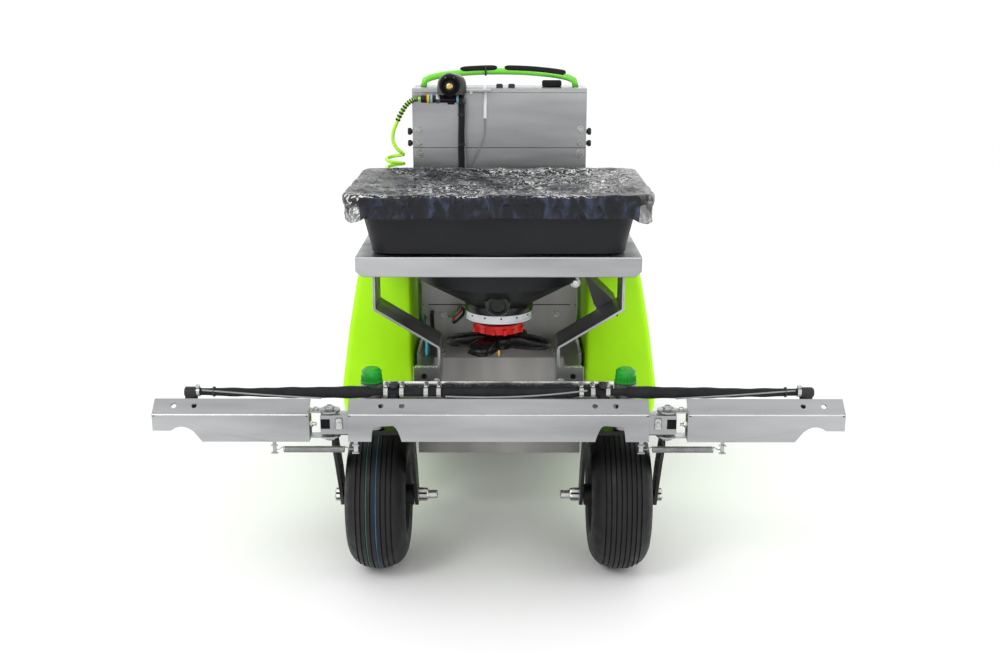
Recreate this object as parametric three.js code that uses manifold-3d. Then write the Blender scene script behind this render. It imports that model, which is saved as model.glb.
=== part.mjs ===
// Stand-on turf spreader-sprayer, millimetres, +Z up, front towards -Y.
// Every part is drawn with y = 0 at the front caster pivots; the whole group is
// then moved so that the origin is under the centre of its box, on the ground.
import * as THREE from "three";
import { mergeVertices } from "three/addons/utils/BufferGeometryUtils.js";
import Module from "manifold-3d";

const wasm = await Module();
wasm.setup();

// ---------- driving dimensions ----------
const GAP = 0.3; // between two parts that touch
const FRONT_Y = -114.5; // foremost point, the faces of the boom springs
const REAR_Y = 1500; // rear edge of the operator platform

// front casters
const PIVOT_X = 293;
const TRAIL = 110;
const FRONT_TIRE = { radius: 180, width: 144, bead: 79, shoulder: 26 };
const LEG_INSIDE = 87; // caster centre to the inner face of a fork leg
const LEG_THICK = 8;
const CROWN_Z = 382;
const COLLAR = { radius: 26, bore: 17, bottom: 396, top: 505 };
const KINGPIN_RADIUS = 15;
const CAP = { radius: 23, height: 33 };

// rear drive wheels
const REAR_AXLE_Y = 1150;
const REAR_TIRE = { radius: 228.5, width: 216, bead: 106, shoulder: 34 };
const REAR_WHEEL_X = 349;
const WHEEL_SIDES = 24;
const STUB_RADIUS = 17;

// frame
const CROSS_TUBE = { half: 270, depth: 50, bottom: 425, top: 475 };
const RAIL = { inner: 166, outer: 206, end: 1176 };
const SIDE_PLATE = { inner: 204, outer: 212, front: 330, rear: 1180 };
const DECK_Z = 205;
const DECK_THICK = 6;
const PANEL_Y = 440;

// spreader
const SPREADER_Y = 235;
const HOPPER = { rimZ: 934, bodyZ: 806, outletZ: 640, wall: 5 };
const TRAY = { half: 326, bottom: 748, top: 794, front: 20, rear: 320, sheet: 4 };
const IMPELLER = { radius: 135, bottom: 524, blade: 34 };
const GATE = { radius: 60, holeRing: 36, holeRadius: 16, holes: 3 };
const COVER = { width: 704, depth: 484, skirtZ: 886, topZ: 941 };

// side tanks
const TANK = { inner: 222, bottom: 292, top: 786, front: 330, rear: 890, lidY: 650, lidX: 285 };

// spray boom
const BOOM = { faceY: -105, sheet: 3, bottom: 398, bend: 462, flangeBack: 33, flangeRise: 27 };
const CENTRE_HALF = 338;
const HINGE_X = 381;
const HINGE_Y = -83;
const WING_ROOT = 424;
const WING_TIP = 776;
const SPRING = { radius: 8, z: 380, inner: 329, outer: 497 };
const BOOM_HOSE = { y: -57, z: 500, radius: 11 };
const OUTER_NOZZLE_X = 697;
const TEE_X = 238;

// control tower
const BOX = { half: 230, front: 560, rear: 720, bottom: 800, top: 1134, sheet: 3 };
const LEVER_PIVOT_Z = 1010;

// hand gun and its recoil hose
const GUN = { x: -127, y: 520, z: 1148 };
const FITTING_Z = 1110;
const RECOIL = { x: -275, y: 525, radius: 4.75, coilRadius: 28, coilTop: 972, coilBottom: 796 };

// ---------- materials ----------
function material(color, roughness, metalness) {
  return new THREE.MeshStandardMaterial({ color, roughness, metalness });
}

const STAINLESS = material(0xb9bcbf, 0.32, 0.95);
const LIME = material(0x8fc31f, 0.45, 0);
const BLACK_STEEL = material(0x1b1c1d, 0.5, 0.3);
const BLACK_PLASTIC = material(0x202122, 0.55, 0);
const CHARCOAL = material(0x33363a, 0.6, 0);
const RUBBER = material(0x252525, 0.85, 0);
const WHITE_PLASTIC = material(0xe9e9e4, 0.5, 0);
const RED_PLASTIC = material(0xb02a22, 0.5, 0);
const VINYL = material(0x2a3038, 0.3, 0);
const SPRING_STEEL = material(0x8d9093, 0.4, 0.9);
const ALUMINIUM = material(0xa6a9ab, 0.45, 0.8);
const BRASS = material(0xb08d4a, 0.35, 0.9);

// ---------- shape helpers ----------
function cleaned(geometry) {
  const bare = geometry.clone();
  bare.deleteAttribute("normal");
  bare.deleteAttribute("uv");
  const merged = mergeVertices(bare, 1e-3);
  const kept = [];
  const index = merged.index.array;
  for (let i = 0; i < index.length; i += 3) {
    const [a, b, c] = [index[i], index[i + 1], index[i + 2]];
    if (a !== b && b !== c && c !== a) kept.push(a, b, c);
  }
  merged.setIndex(kept);
  return merged;
}

function signedVolume(geometry) {
  const corner = [new THREE.Vector3(), new THREE.Vector3(), new THREE.Vector3()];
  const { position } = geometry.attributes;
  const index = geometry.index.array;
  let total = 0;
  for (let i = 0; i < index.length; i += 3) {
    for (let k = 0; k < 3; k += 1) corner[k].fromBufferAttribute(position, index[i + k]);
    total += corner[0].dot(corner[1].cross(corner[2])) / 6;
  }
  return total;
}

// Merges the vertices and turns the faces outwards.
function facingOut(geometry) {
  const closed = cleaned(geometry);
  if (signedVolume(closed) > 0) return closed;
  const index = Array.from(closed.index.array);
  for (let i = 0; i < index.length; i += 3) {
    [index[i + 1], index[i + 2]] = [index[i + 2], index[i + 1]];
  }
  closed.setIndex(index);
  return closed;
}

function toSolid(geometry) {
  const closed = facingOut(geometry);
  return new wasm.Manifold(new wasm.Mesh({
    numProp: 3,
    vertProperties: new Float32Array(closed.attributes.position.array),
    triVerts: new Uint32Array(closed.index.array),
  }));
}

function toGeometry(solid) {
  const mesh = solid.getMesh();
  const geometry = new THREE.BufferGeometry();
  geometry.setAttribute("position", new THREE.Float32BufferAttribute(mesh.vertProperties, 3));
  geometry.setIndex(Array.from(mesh.triVerts));
  return geometry;
}

function join(...geometries) {
  return toGeometry(geometries.map(toSolid).reduce((sum, next) => sum.add(next)));
}

function cut(geometry, ...tools) {
  return toGeometry(tools.map(toSolid).reduce((rest, tool) => rest.subtract(tool), toSolid(geometry)));
}

function box(x0, x1, y0, y1, z0, z1) {
  const geometry = new THREE.BoxGeometry(x1 - x0, y1 - y0, z1 - z0);
  return geometry.translate((x0 + x1) / 2, (y0 + y1) / 2, (z0 + z1) / 2);
}

function cylinderZ(radius, x, y, z0, z1, sides = 24) {
  const geometry = new THREE.CylinderGeometry(radius, radius, z1 - z0, sides);
  return geometry.rotateX(Math.PI / 2).translate(x, y, (z0 + z1) / 2);
}

function cylinderY(radius, x, z, y0, y1, sides = 24) {
  const geometry = new THREE.CylinderGeometry(radius, radius, y1 - y0, sides);
  return geometry.translate(x, (y0 + y1) / 2, z);
}

function cylinderX(radius, y, z, x0, x1, sides = 24) {
  const geometry = new THREE.CylinderGeometry(radius, radius, x1 - x0, sides);
  return geometry.rotateZ(Math.PI / 2).translate((x0 + x1) / 2, y, z);
}

function outline(points) {
  return new THREE.Shape(points.map(([u, v]) => new THREE.Vector2(u, v)));
}

// Outline in (y, z), extruded from x0 to x1.
function extrudeX(points, x0, x1) {
  const geometry = new THREE.ExtrudeGeometry(outline(points), { depth: x1 - x0, bevelEnabled: false });
  const turn = new THREE.Matrix4().makeBasis(
    new THREE.Vector3(0, 1, 0), new THREE.Vector3(0, 0, 1), new THREE.Vector3(1, 0, 0));
  return geometry.applyMatrix4(turn).translate(x0, 0, 0);
}

// Outline in (x, z), extruded from y0 to y1.
function extrudeY(shape, y0, y1) {
  const geometry = new THREE.ExtrudeGeometry(shape, { depth: y1 - y0, bevelEnabled: false, curveSegments: 5 });
  return geometry.rotateX(Math.PI / 2).translate(0, y1, 0);
}

function regularPolygon(radius, sides) {
  const points = [];
  for (let i = 0; i < sides; i += 1) {
    const angle = (2 * Math.PI * i) / sides;
    points.push([radius * Math.cos(angle), radius * Math.sin(angle)]);
  }
  return points;
}

function tube(points, radius, sides, steps) {
  const path = new THREE.CatmullRomCurve3(points.map((p) => new THREE.Vector3(...p)), false, "centripetal");
  const section = outline(regularPolygon(radius, sides));
  return new THREE.ExtrudeGeometry(section, { extrudePath: path, steps });
}

// Rounded rectangle in the plane z, centred on (0, SPREADER_Y).
function hopperRing(width, depth, corner, z, perCorner = 4) {
  const ring = [];
  const centres = [[1, 1], [-1, 1], [-1, -1], [1, -1]];
  centres.forEach(([sx, sy], quarter) => {
    for (let i = 0; i <= perCorner; i += 1) {
      const angle = (Math.PI / 2) * (quarter + i / perCorner);
      const x = sx * (width / 2 - corner) + corner * Math.cos(angle);
      const y = sy * (depth / 2 - corner) + corner * Math.sin(angle);
      ring.push(new THREE.Vector3(x, SPREADER_Y + y, z));
    }
  });
  return ring;
}

// Closed body through rings that all have the same number of points.
function loft(rings) {
  const count = rings[0].length;
  const vertices = rings.flat().flatMap((p) => [p.x, p.y, p.z]);
  const index = [];
  for (let r = 0; r < rings.length - 1; r += 1) {
    for (let i = 0; i < count; i += 1) {
      const a = r * count + i;
      const b = r * count + ((i + 1) % count);
      index.push(a, b, b + count, a, b + count, a + count);
    }
  }
  const last = (rings.length - 1) * count;
  for (let i = 1; i < count - 1; i += 1) {
    index.push(0, i + 1, i);
    index.push(last, last + i, last + i + 1);
  }
  const geometry = new THREE.BufferGeometry();
  geometry.setAttribute("position", new THREE.Float32BufferAttribute(vertices, 3));
  geometry.setIndex(index);
  return facingOut(geometry);
}

// Turned body about the X axis: profile points are [radius, x].
function turnedX(profile, sides) {
  const half = Math.PI / sides;
  const points = profile.map(([radius, x]) => new THREE.Vector2(radius / Math.cos(half), x));
  const geometry = new THREE.LatheGeometry(points, sides, half);
  return facingOut(geometry.rotateZ(-Math.PI / 2));
}

const machine = new THREE.Group();
machine.position.y = -(FRONT_Y + REAR_Y) / 2;

function add(name, geometry, meshMaterial, parent = machine) {
  const mesh = new THREE.Mesh(facingOut(geometry), meshMaterial);
  mesh.name = name;
  parent.add(mesh);
  return mesh;
}

const SIDES = [{ name: "left", sign: 1 }, { name: "right", sign: -1 }];

// Mirrors a geometry drawn on the +X side to the side asked for.
function onSide(geometry, sign) {
  return sign > 0 ? geometry : facingOut(geometry.clone().scale(-1, 1, 1));
}

// ---------- frame ----------
function casterCollar(sign) {
  return cylinderZ(COLLAR.radius, sign * PIVOT_X, 0, COLLAR.bottom, COLLAR.top);
}

function frameSide(sign) {
  const rail = box(RAIL.inner, RAIL.outer, 0, RAIL.end, CROSS_TUBE.bottom, CROSS_TUBE.top);
  const plate = box(SIDE_PLATE.inner, SIDE_PLATE.outer, SIDE_PLATE.front, SIDE_PLATE.rear,
    DECK_Z, CROSS_TUBE.top + 5);
  const towerPlate = box(200, 206, BOX.front + 10, BOX.rear, CROSS_TUBE.top - 5, BOX.bottom - GAP);
  const shelves = [400, 780].map((y) => box(SIDE_PLATE.inner + 2, 392, y, y + 40, 272, TANK.bottom - 0.5));
  const boomArm = box(150, 158, BOOM.faceY + GAP, 0, 425, 453);
  const motor = cylinderX(60, REAR_AXLE_Y, REAR_TIRE.radius, SIDE_PLATE.outer - 2, 236);
  const stub = cylinderX(STUB_RADIUS, REAR_AXLE_Y, REAR_TIRE.radius, 230, REAR_WHEEL_X + 40);
  const hopperPost = box(188, 200, PANEL_Y - 2, PANEL_Y + 28, CROSS_TUBE.top - 5, 780);
  const pieces = [rail, plate, towerPlate, ...shelves, boomArm, motor, stub, hopperPost];
  return pieces.map((piece) => onSide(piece, sign));
}

function frame() {
  const crossTube = box(-CROSS_TUBE.half, CROSS_TUBE.half, -CROSS_TUBE.depth / 2, CROSS_TUBE.depth / 2,
    CROSS_TUBE.bottom, CROSS_TUBE.top);
  const deck = box(-SIDE_PLATE.inner - 2, SIDE_PLATE.inner + 2, SIDE_PLATE.front, SIDE_PLATE.rear,
    DECK_Z, DECK_Z + DECK_THICK);
  const deckLip = box(-SIDE_PLATE.inner - 2, SIDE_PLATE.inner + 2, SIDE_PLATE.front, SIDE_PLATE.front + 6,
    DECK_Z, DECK_Z + 30);
  const rearPlate = box(-SIDE_PLATE.inner - 2, SIDE_PLATE.inner + 2, SIDE_PLATE.rear - 6, SIDE_PLATE.rear,
    DECK_Z, CROSS_TUBE.top);
  const frontPlate = box(-RAIL.inner - 2, RAIL.inner + 2, 320, 324, 402, 470);
  const innerPanel = box(-RAIL.outer + 2, RAIL.outer - 2, PANEL_Y, PANEL_Y + 3, 402, 742);
  const gearArm = box(-26, 26, PANEL_Y - 30, PANEL_Y + 1, 560, 566);
  const body = join(crossTube, casterCollar(1), casterCollar(-1), ...frameSide(1), ...frameSide(-1),
    deck, deckLip, rearPlate, frontPlate, innerPanel, gearArm);
  const bores = [1, -1].map((sign) =>
    cylinderZ(COLLAR.bore, sign * PIVOT_X, 0, COLLAR.bottom - 5, COLLAR.top + 5));
  return cut(body, ...bores);
}

add("frame", frame(), STAINLESS);

// ---------- wheels ----------
function tire({ radius, width, bead, shoulder }) {
  const half = width / 2;
  const profile = [
    [bead, -half + 22], [bead + 14, -half + 6], [radius - shoulder * 1.6, -half],
    [radius - shoulder * 0.5, -half + 4], [radius, -half + shoulder], [radius, half - shoulder], [radius - shoulder * 0.5, half - 4],
    [radius - shoulder * 1.6, half], [bead + 14, half - 6], [bead, half - 22], [bead, -half + 22],
  ];
  return turnedX(profile, WHEEL_SIDES);
}

function rim(bead, halfBarrel, halfHub, hubRadius, bore) {
  const outer = bead - 0.6;
  const web = 5;
  const profile = [
    [bore, -halfHub], [hubRadius, -halfHub], [hubRadius, -web], [outer - 8, -web], [outer - 8, -halfBarrel],
    [outer, -halfBarrel], [outer, halfBarrel], [outer - 8, halfBarrel], [outer - 8, web], [hubRadius, web],
    [hubRadius, halfHub], [bore, halfHub], [bore, -halfHub],
  ];
  return turnedX(profile, WHEEL_SIDES);
}

function forkLeg(inner) {
  const axleZ = FRONT_TIRE.radius;
  const points = [[-20, 392], [25, 392], [44, 350], [TRAIL - 8, 262], [TRAIL + 24, axleZ + 12],
    [TRAIL + 22, axleZ - 12], [TRAIL, axleZ - 28], [TRAIL - 20, axleZ - 20], [TRAIL - 42, axleZ + 26],
    [10, 306], [-20, 350]];
  return extrudeX(points, inner, inner + LEG_THICK);
}

// Drawn about the pivot with the bolt's nut towards +X.
function fork() {
  const reach = LEG_INSIDE + LEG_THICK;
  const crown = box(-reach, reach, -20, 25, CROWN_Z, 392);
  const kingpin = cylinderZ(KINGPIN_RADIUS, 0, 0, 388, COLLAR.top + 1);
  const thrustWasher = cylinderZ(24, 0, 0, 390, COLLAR.bottom - 1);
  const axle = cylinderX(9.5, TRAIL, FRONT_TIRE.radius, -reach - 2, 141, 16);
  const nut = cylinderX(16, TRAIL, FRONT_TIRE.radius, reach - 1, reach + 21, 6);
  const head = cylinderX(16, TRAIL, FRONT_TIRE.radius, -reach - 12, -reach + 1, 6);
  return join(crown, kingpin, thrustWasher, forkLeg(LEG_INSIDE), forkLeg(-reach), axle, nut, head);
}

function dustCap() {
  const { radius, height } = CAP;
  const base = COLLAR.top + 1 + GAP;
  const body = cylinderZ(radius, 0, 0, base, base + height - 6);
  const lip = cylinderZ(radius + 3, 0, 0, base, base + 4);
  const crown = new THREE.CylinderGeometry(radius - 7, radius, 6, 24).rotateX(Math.PI / 2)
    .translate(0, 0, base + height - 3);
  return join(body, lip, crown);
}

SIDES.forEach(({ name, sign }) => {
  const caster = new THREE.Group();
  caster.position.x = sign * PIVOT_X;
  machine.add(caster);
  add(`caster_fork_${name}`, onSide(fork(), -sign), BLACK_STEEL, caster);
  add(`pivot_cap_${name}`, dustCap(), LIME, caster);
  const axle = new THREE.Group();
  axle.position.set(0, TRAIL, FRONT_TIRE.radius);
  caster.add(axle);
  add(`front_tire_${name}`, tire(FRONT_TIRE), RUBBER, axle);
  add(`front_rim_${name}`, rim(FRONT_TIRE.bead, 56, 84, 26, 11), BLACK_STEEL, axle);

  const rearAxle = new THREE.Group();
  rearAxle.position.set(sign * REAR_WHEEL_X, REAR_AXLE_Y, REAR_TIRE.radius);
  machine.add(rearAxle);
  add(`rear_tire_${name}`, tire(REAR_TIRE), RUBBER, rearAxle);
  add(`rear_rim_${name}`, rim(REAR_TIRE.bead, 88, 60, 50, STUB_RADIUS + 1.5), BLACK_STEEL, rearAxle);
});

// ---------- spreader ----------
function hopperTray() {
  const { half, bottom, top, front, rear, sheet } = TRAY;
  const notch = 14;
  const face = outline([[-half, bottom + notch], [-half + notch, bottom], [half - notch, bottom],
    [half, bottom + notch], [half, top], [-half, top]]);
  const block = extrudeY(face, front, rear);
  const inside = box(-half + sheet, half - sheet, front + sheet, rear + 10, bottom - 10, top - sheet);
  const well = cylinderZ(208, 0, SPREADER_Y, bottom - 5, top + 5, 32);
  return cut(block, inside, well);
}

function hopperBracket() {
  const line = [[288, 747], [288, 666], [140, 575], [140, 480], [204, 480]];
  const inner = [[200, 476], [136, 476], [136, 577], [284, 668], [284, 747]];
  return extrudeY(outline([...line, [204, 476], ...inner.slice(1)]), 40, 160);
}

function gateHoles(z0, z1, turn) {
  const holes = [];
  for (let i = 0; i < GATE.holes; i += 1) {
    const angle = (2 * Math.PI * i) / GATE.holes + turn;
    const x = GATE.holeRing * Math.cos(angle);
    const y = SPREADER_Y + GATE.holeRing * Math.sin(angle);
    holes.push(cylinderZ(GATE.holeRadius, x, y, z0, z1, 16));
  }
  return holes;
}

// Shallow cone from the outlet up to a short upright wall, moved inwards by inset.
function funnelBody(inset, bottom, top) {
  const shoulderZ = 708;
  const profile = [[0, bottom], [78 - inset * 0.5, bottom], [200 - inset, shoulderZ], [204 - inset, shoulderZ + 22],
    [204 - inset, top], [0, top]];
  const points = profile.map(([radius, z]) => new THREE.Vector2(radius, z));
  return facingOut(new THREE.LatheGeometry(points, 32).rotateX(Math.PI / 2).translate(0, SPREADER_Y, 0));
}

function hopper() {
  const { rimZ, bodyZ, outletZ, wall } = HOPPER;
  const outer = loft([hopperRing(588, 404, 56, bodyZ - 6), hopperRing(588, 404, 56, bodyZ),
    hopperRing(630, 440, 56, 902), hopperRing(676, 468, 50, 915), hopperRing(676, 468, 50, rimZ)]);
  const inner = loft([hopperRing(578, 394, 52, bodyZ), hopperRing(620, 430, 52, 902),
    hopperRing(664, 456, 46, 917), hopperRing(664, 456, 46, rimZ + 5)]);
  const funnel = funnelBody(0, outletZ, bodyZ - 3);
  const funnelInside = funnelBody(wall, outletZ + 6, bodyZ + 1);
  return cut(join(outer, funnel), inner, funnelInside, ...gateHoles(outletZ - 5, outletZ + 10, 0));
}

function gatePlate() {
  const disc = cylinderZ(GATE.radius, 0, SPREADER_Y, 633, 638);
  const arm = box(-6, 6, SPREADER_Y - 63, SPREADER_Y - 50, 633, 638);
  return cut(join(disc, arm), ...gateHoles(630, 640, Math.PI / 3));
}

function meteringRing() {
  const ring = cylinderZ(80, 0, SPREADER_Y, 602, HOPPER.outletZ - 0.5, 32);
  return cut(ring, cylinderZ(66, 0, SPREADER_Y, 590, 650, 32));
}

function spinnerGearbox() {
  const drum = cylinderZ(58, 0, SPREADER_Y, 568, 590, 32);
  const arm = box(-24, 24, SPREADER_Y + 40, PANEL_Y - GAP, 568, 586);
  const hub = cylinderZ(20, 0, SPREADER_Y, 585, 612);
  return join(drum, arm, hub);
}

function impeller() {
  const { radius, bottom, blade } = IMPELLER;
  const disc = cylinderZ(radius, 0, 0, bottom, bottom + 4, 32);
  const hub = cylinderZ(22, 0, 0, bottom, bottom + 28);
  const shaft = cylinderZ(7, 0, 0, bottom - 24, 568 - GAP, 16);
  const blades = [];
  for (let i = 0; i < 4; i += 1) {
    const vane = box(18, radius - 2, -2, 2, bottom + 2, bottom + blade);
    blades.push(vane.rotateZ((Math.PI / 2) * i));
  }
  return join(disc, hub, shaft, ...blades).translate(0, SPREADER_Y, 0);
}

function deflectorFlap() {
  const line = [[206, 724], [214, 724], [216, 716], [288, 646], [288, 620], [284, 620], [284, 642], [208, 713]];
  return extrudeY(outline(line), 164, 300);
}

function rainCover() {
  const { width, depth, skirtZ, topZ } = COVER;
  const outer = loft([hopperRing(width, depth, 50, skirtZ), hopperRing(width, depth, 50, topZ - 10),
    hopperRing(width - 30, depth - 30, 50, topZ)]);
  const inside = loft([hopperRing(width - 16, depth - 8, 48, skirtZ - 5),
    hopperRing(width - 16, depth - 8, 48, HOPPER.rimZ + GAP)]);
  return cut(outer, inside);
}

add("hopper_tray", hopperTray(), STAINLESS);
SIDES.forEach(({ name, sign }) => add(`hopper_bracket_${name}`, onSide(hopperBracket(), sign), STAINLESS));
add("hopper", hopper(), CHARCOAL);
add("gate_plate", gatePlate(), STAINLESS);
add("metering_ring", meteringRing(), WHITE_PLASTIC);
add("spinner_gearbox", spinnerGearbox(), RED_PLASTIC);
add("impeller", impeller(), BLACK_PLASTIC);
add("deflector_flap", deflectorFlap(), BLACK_PLASTIC);
add("rain_cover", rainCover(), VINYL);

// ---------- side tanks ----------
function tank() {
  const { inner, bottom, top, front, rear } = TANK;
  const round = 16;
  const section = outline([[inner + round, bottom + round], [388, bottom + round], [394, 375], [371, 536],
    [348, 662], [324, top - round - 6], [314, top - round], [inner + round, top - round]]);
  const geometry = new THREE.ExtrudeGeometry(section, {
    depth: rear - front - 2 * round, bevelEnabled: true, bevelThickness: round, bevelSize: round, bevelSegments: 3,
  });
  const body = geometry.rotateX(Math.PI / 2).translate(0, rear - round, 0);
  const neck = cylinderZ(46, TANK.lidX, TANK.lidY, top - 10, top + 12);
  return join(body, neck);
}

function tankLid() {
  const base = TANK.top + 12 + GAP;
  const lid = cylinderZ(54, TANK.lidX, TANK.lidY, base, base + 24);
  const grip = box(TANK.lidX - 44, TANK.lidX + 44, TANK.lidY - 8, TANK.lidY + 8, base + 20, base + 38);
  return join(lid, grip);
}

SIDES.forEach(({ name, sign }) => {
  add(`tank_${name}`, onSide(tank(), sign), LIME);
  add(`tank_lid_${name}`, onSide(tankLid(), sign), BLACK_PLASTIC);
});

// ---------- spray boom ----------
// Folded sheet: upright face with a sloping flange along its top.
function boomSheet(x0, x1) {
  const { faceY, sheet, bottom, bend, flangeBack, flangeRise } = BOOM;
  const points = [[faceY - sheet, bottom], [faceY, bottom], [faceY, bend - 2],
    [faceY + flangeBack, bend + flangeRise - sheet], [faceY + flangeBack - 1, bend + flangeRise],
    [faceY - sheet, bend]];
  return extrudeX(points, x0, x1);
}

function flangeHole(x) {
  return cylinderZ(6, x, BOOM.faceY + 17, BOOM.bend, BOOM.bend + 40, 12);
}

// Rounded notch in the lower edge of the face, from x0 to x1.
function faceNotch(x0, x1, height, lean) {
  const shape = new THREE.Shape();
  shape.moveTo(x0, BOOM.bottom - 5);
  shape.lineTo(x0, BOOM.bottom + 2);
  shape.quadraticCurveTo(x0 + lean * 0.5, BOOM.bottom + height, x0 + lean, BOOM.bottom + height);
  shape.lineTo(x1 - 8, BOOM.bottom + height - 3);
  shape.quadraticCurveTo(x1 - 2, BOOM.bottom + height - 6, x1, BOOM.bottom - 5);
  return extrudeY(shape, BOOM.faceY - 10, BOOM.faceY + 6);
}

function springLug(x0, x1) {
  return box(x0, x1, BOOM.faceY - BOOM.sheet, BOOM.faceY, 371, BOOM.bottom + 10);
}

function boomCentre() {
  const sheet = boomSheet(-CENTRE_HALF, CENTRE_HALF);
  const pieces = [sheet];
  const tools = [];
  [1, -1].forEach((sign) => {
    const knuckle = box(CENTRE_HALF - 6, 400, -100, -66, 413, 458);
    const web = box(CENTRE_HALF - 12, CENTRE_HALF, BOOM.faceY - 1, -66, 405, 460);
    pieces.push(onSide(knuckle, sign), onSide(web, sign), onSide(springLug(316, 326), sign));
    tools.push(onSide(faceNotch(218, 286, 38, 20), sign));
    tools.push(onSide(flangeHole(264), sign), onSide(flangeHole(217), sign));
    tools.push(cylinderZ(9, sign * HINGE_X, HINGE_Y, 400, 470, 16));
  });
  return cut(join(...pieces), ...tools);
}

function hingePlate(z) {
  const round = cylinderZ(24, HINGE_X, HINGE_Y, z, z + 4);
  const tongue = box(HINGE_X, WING_ROOT + 6, HINGE_Y - 16, HINGE_Y + 11, z, z + 4);
  return join(round, tongue);
}

function boomWing() {
  const sheet = boomSheet(WING_ROOT, WING_TIP);
  const endPlate = box(WING_ROOT, WING_ROOT + 4, BOOM.faceY - 1, BOOM.faceY + 33, 401, 468);
  const tipPlate = box(WING_TIP - 3, WING_TIP, BOOM.faceY - 1, BOOM.faceY + 14, 425, 466);
  const pin = cylinderZ(7.5, HINGE_X, HINGE_Y, 400, 470, 16);
  const head = cylinderZ(10, HINGE_X, HINGE_Y, 466, 471, 6);
  const nut = cylinderZ(12, HINGE_X, HINGE_Y, 396, 406, 6);
  const body = join(sheet, endPlate, tipPlate, hingePlate(404), hingePlate(463), pin, head, nut,
    springLug(500, 508));
  const notch = new THREE.Shape();
  notch.moveTo(662, BOOM.bottom - 5);
  notch.lineTo(684, 422);
  notch.quadraticCurveTo(709, 444, 735, 424);
  notch.lineTo(WING_TIP + 5, 424);
  notch.lineTo(WING_TIP + 5, BOOM.bottom - 5);
  return cut(body, extrudeY(notch, BOOM.faceY - 10, BOOM.faceY + 40), flangeHole(730), flangeHole(684));
}

function boomSpring() {
  return cylinderX(SPRING.radius, BOOM.faceY - 1.5, SPRING.z, SPRING.inner, SPRING.outer, 12);
}

function nozzle(x) {
  const body = cylinderZ(13, x, BOOM_HOSE.y, 462, BOOM_HOSE.z, 12);
  const tip = cylinderZ(10, x, BOOM_HOSE.y, 448, 464, 12);
  return join(body, tip);
}

function centreHose() {
  const { y, z, radius } = BOOM_HOSE;
  const hose = cylinderX(radius, y, z, -TEE_X - 16, TEE_X + 16, 10);
  return join(hose, nozzle(TEE_X), nozzle(-TEE_X));
}

function wingHose() {
  const { y, z, radius } = BOOM_HOSE;
  return cylinderX(radius, y, z, TEE_X + 16 + GAP, OUTER_NOZZLE_X - 14, 10);
}

add("boom_centre", boomCentre(), STAINLESS);
add("boom_hose_centre", centreHose(), BLACK_PLASTIC);
SIDES.forEach(({ name, sign }) => {
  add(`boom_wing_${name}`, onSide(boomWing(), sign), STAINLESS);
  add(`boom_spring_${name}`, onSide(boomSpring(), sign), SPRING_STEEL);
  add(`boom_hose_${name}`, onSide(wingHose(), sign), BLACK_PLASTIC);
  add(`outer_nozzle_${name}`, onSide(nozzle(OUTER_NOZZLE_X), sign), BLACK_PLASTIC);
});

// ---------- control tower ----------
function controlBox() {
  const { half, front, rear, bottom, top, sheet } = BOX;
  const shell = box(-half, half, front, rear, bottom, top);
  const inside = box(-half + sheet, half - sheet, front + sheet, rear + 10, bottom - 10, top - sheet);
  const gunBracket = box(-82, -22, front - 42, front + 1, 1128, 1134);
  const gunClamp = box(-97, -76, front - 42, front - 8, 1128, 1134);
  return join(cut(shell, inside), gunBracket, gunClamp);
}

function dashPanel() {
  const inset = BOX.sheet + 1;
  const plate = box(-BOX.half + inset, BOX.half - inset, BOX.rear - 6, BOX.rear, 830, BOX.top - inset);
  const slots = [1, -1].map((sign) => box(sign * 120 - 8, sign * 120 + 8, BOX.rear - 10, BOX.rear + 5, 960, 1060));
  const gateSlot = box(39, 49, BOX.rear - 10, BOX.rear + 5, 930, 1030);
  return cut(plate, ...slots, gateSlot);
}

function handlebar() {
  const z = BOX.top + GAP;
  const half = [[204, 640, z], [204, 640, z + 8], [199, 641, z + 17], [182, 646, z + 24], [150, 655, z + 30],
    [80, 672, z + 36]];
  const mirrored = half.map(([x, y, height]) => [-x, y, height]);
  const path = [...mirrored, [0, 678, z + 38], ...half.reverse()];
  return tube(path, 9, 10, 26);
}

function operatorBar() {
  const path = [[-206, BOX.rear + GAP, 900], [-206, 760, 900], [-202, 790, 902], [-180, 806, 906], [0, 808, 908],
    [180, 806, 906], [202, 790, 902], [206, 760, 900], [206, BOX.rear + GAP, 900]];
  return tube(path, 11, 10, 24);
}

// Lever on a cross pin inside the dash, standing out of its slot.
function driveLever() {
  const pivot = cylinderX(9, BOX.rear - 30, LEVER_PIVOT_Z, 104, 136, 12);
  const arm = box(116, 124, BOX.rear - 34, 762, LEVER_PIVOT_Z - 4, LEVER_PIVOT_Z + 4);
  const grip = cylinderX(13, 768, LEVER_PIVOT_Z, 70, 170, 12);
  return join(pivot, arm, grip);
}

function gateLever() {
  const y = BOX.rear - 24;
  const pivot = cylinderX(8, y, 980, 35, 53, 12);
  const arm = box(41, 47, y, 756, 977, 983);
  const knob = cylinderY(13, 44, 980, 752, 782, 16);
  return join(pivot, arm, knob);
}

function throttleLever() {
  const foot = cylinderY(12, -40, 1060, BOX.rear + GAP, BOX.rear + 10, 16);
  const arm = box(-44, -36, BOX.rear + 4, BOX.rear + 9, 1060, 1096);
  const knob = cylinderY(9, -40, 1098, BOX.rear + 2, BOX.rear + 26, 12);
  return join(foot, arm, knob);
}

function ignitionKey() {
  const barrel = cylinderY(11, -40, 1010, BOX.rear + GAP, BOX.rear + 8, 16);
  const bow = box(-42, -38, BOX.rear + 6, BOX.rear + 30, 996, 1024);
  return join(barrel, bow);
}

function pumpSwitch() {
  return box(-12, 12, BOX.rear + 4, BOX.rear + 11, 1060, 1096);
}

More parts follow.
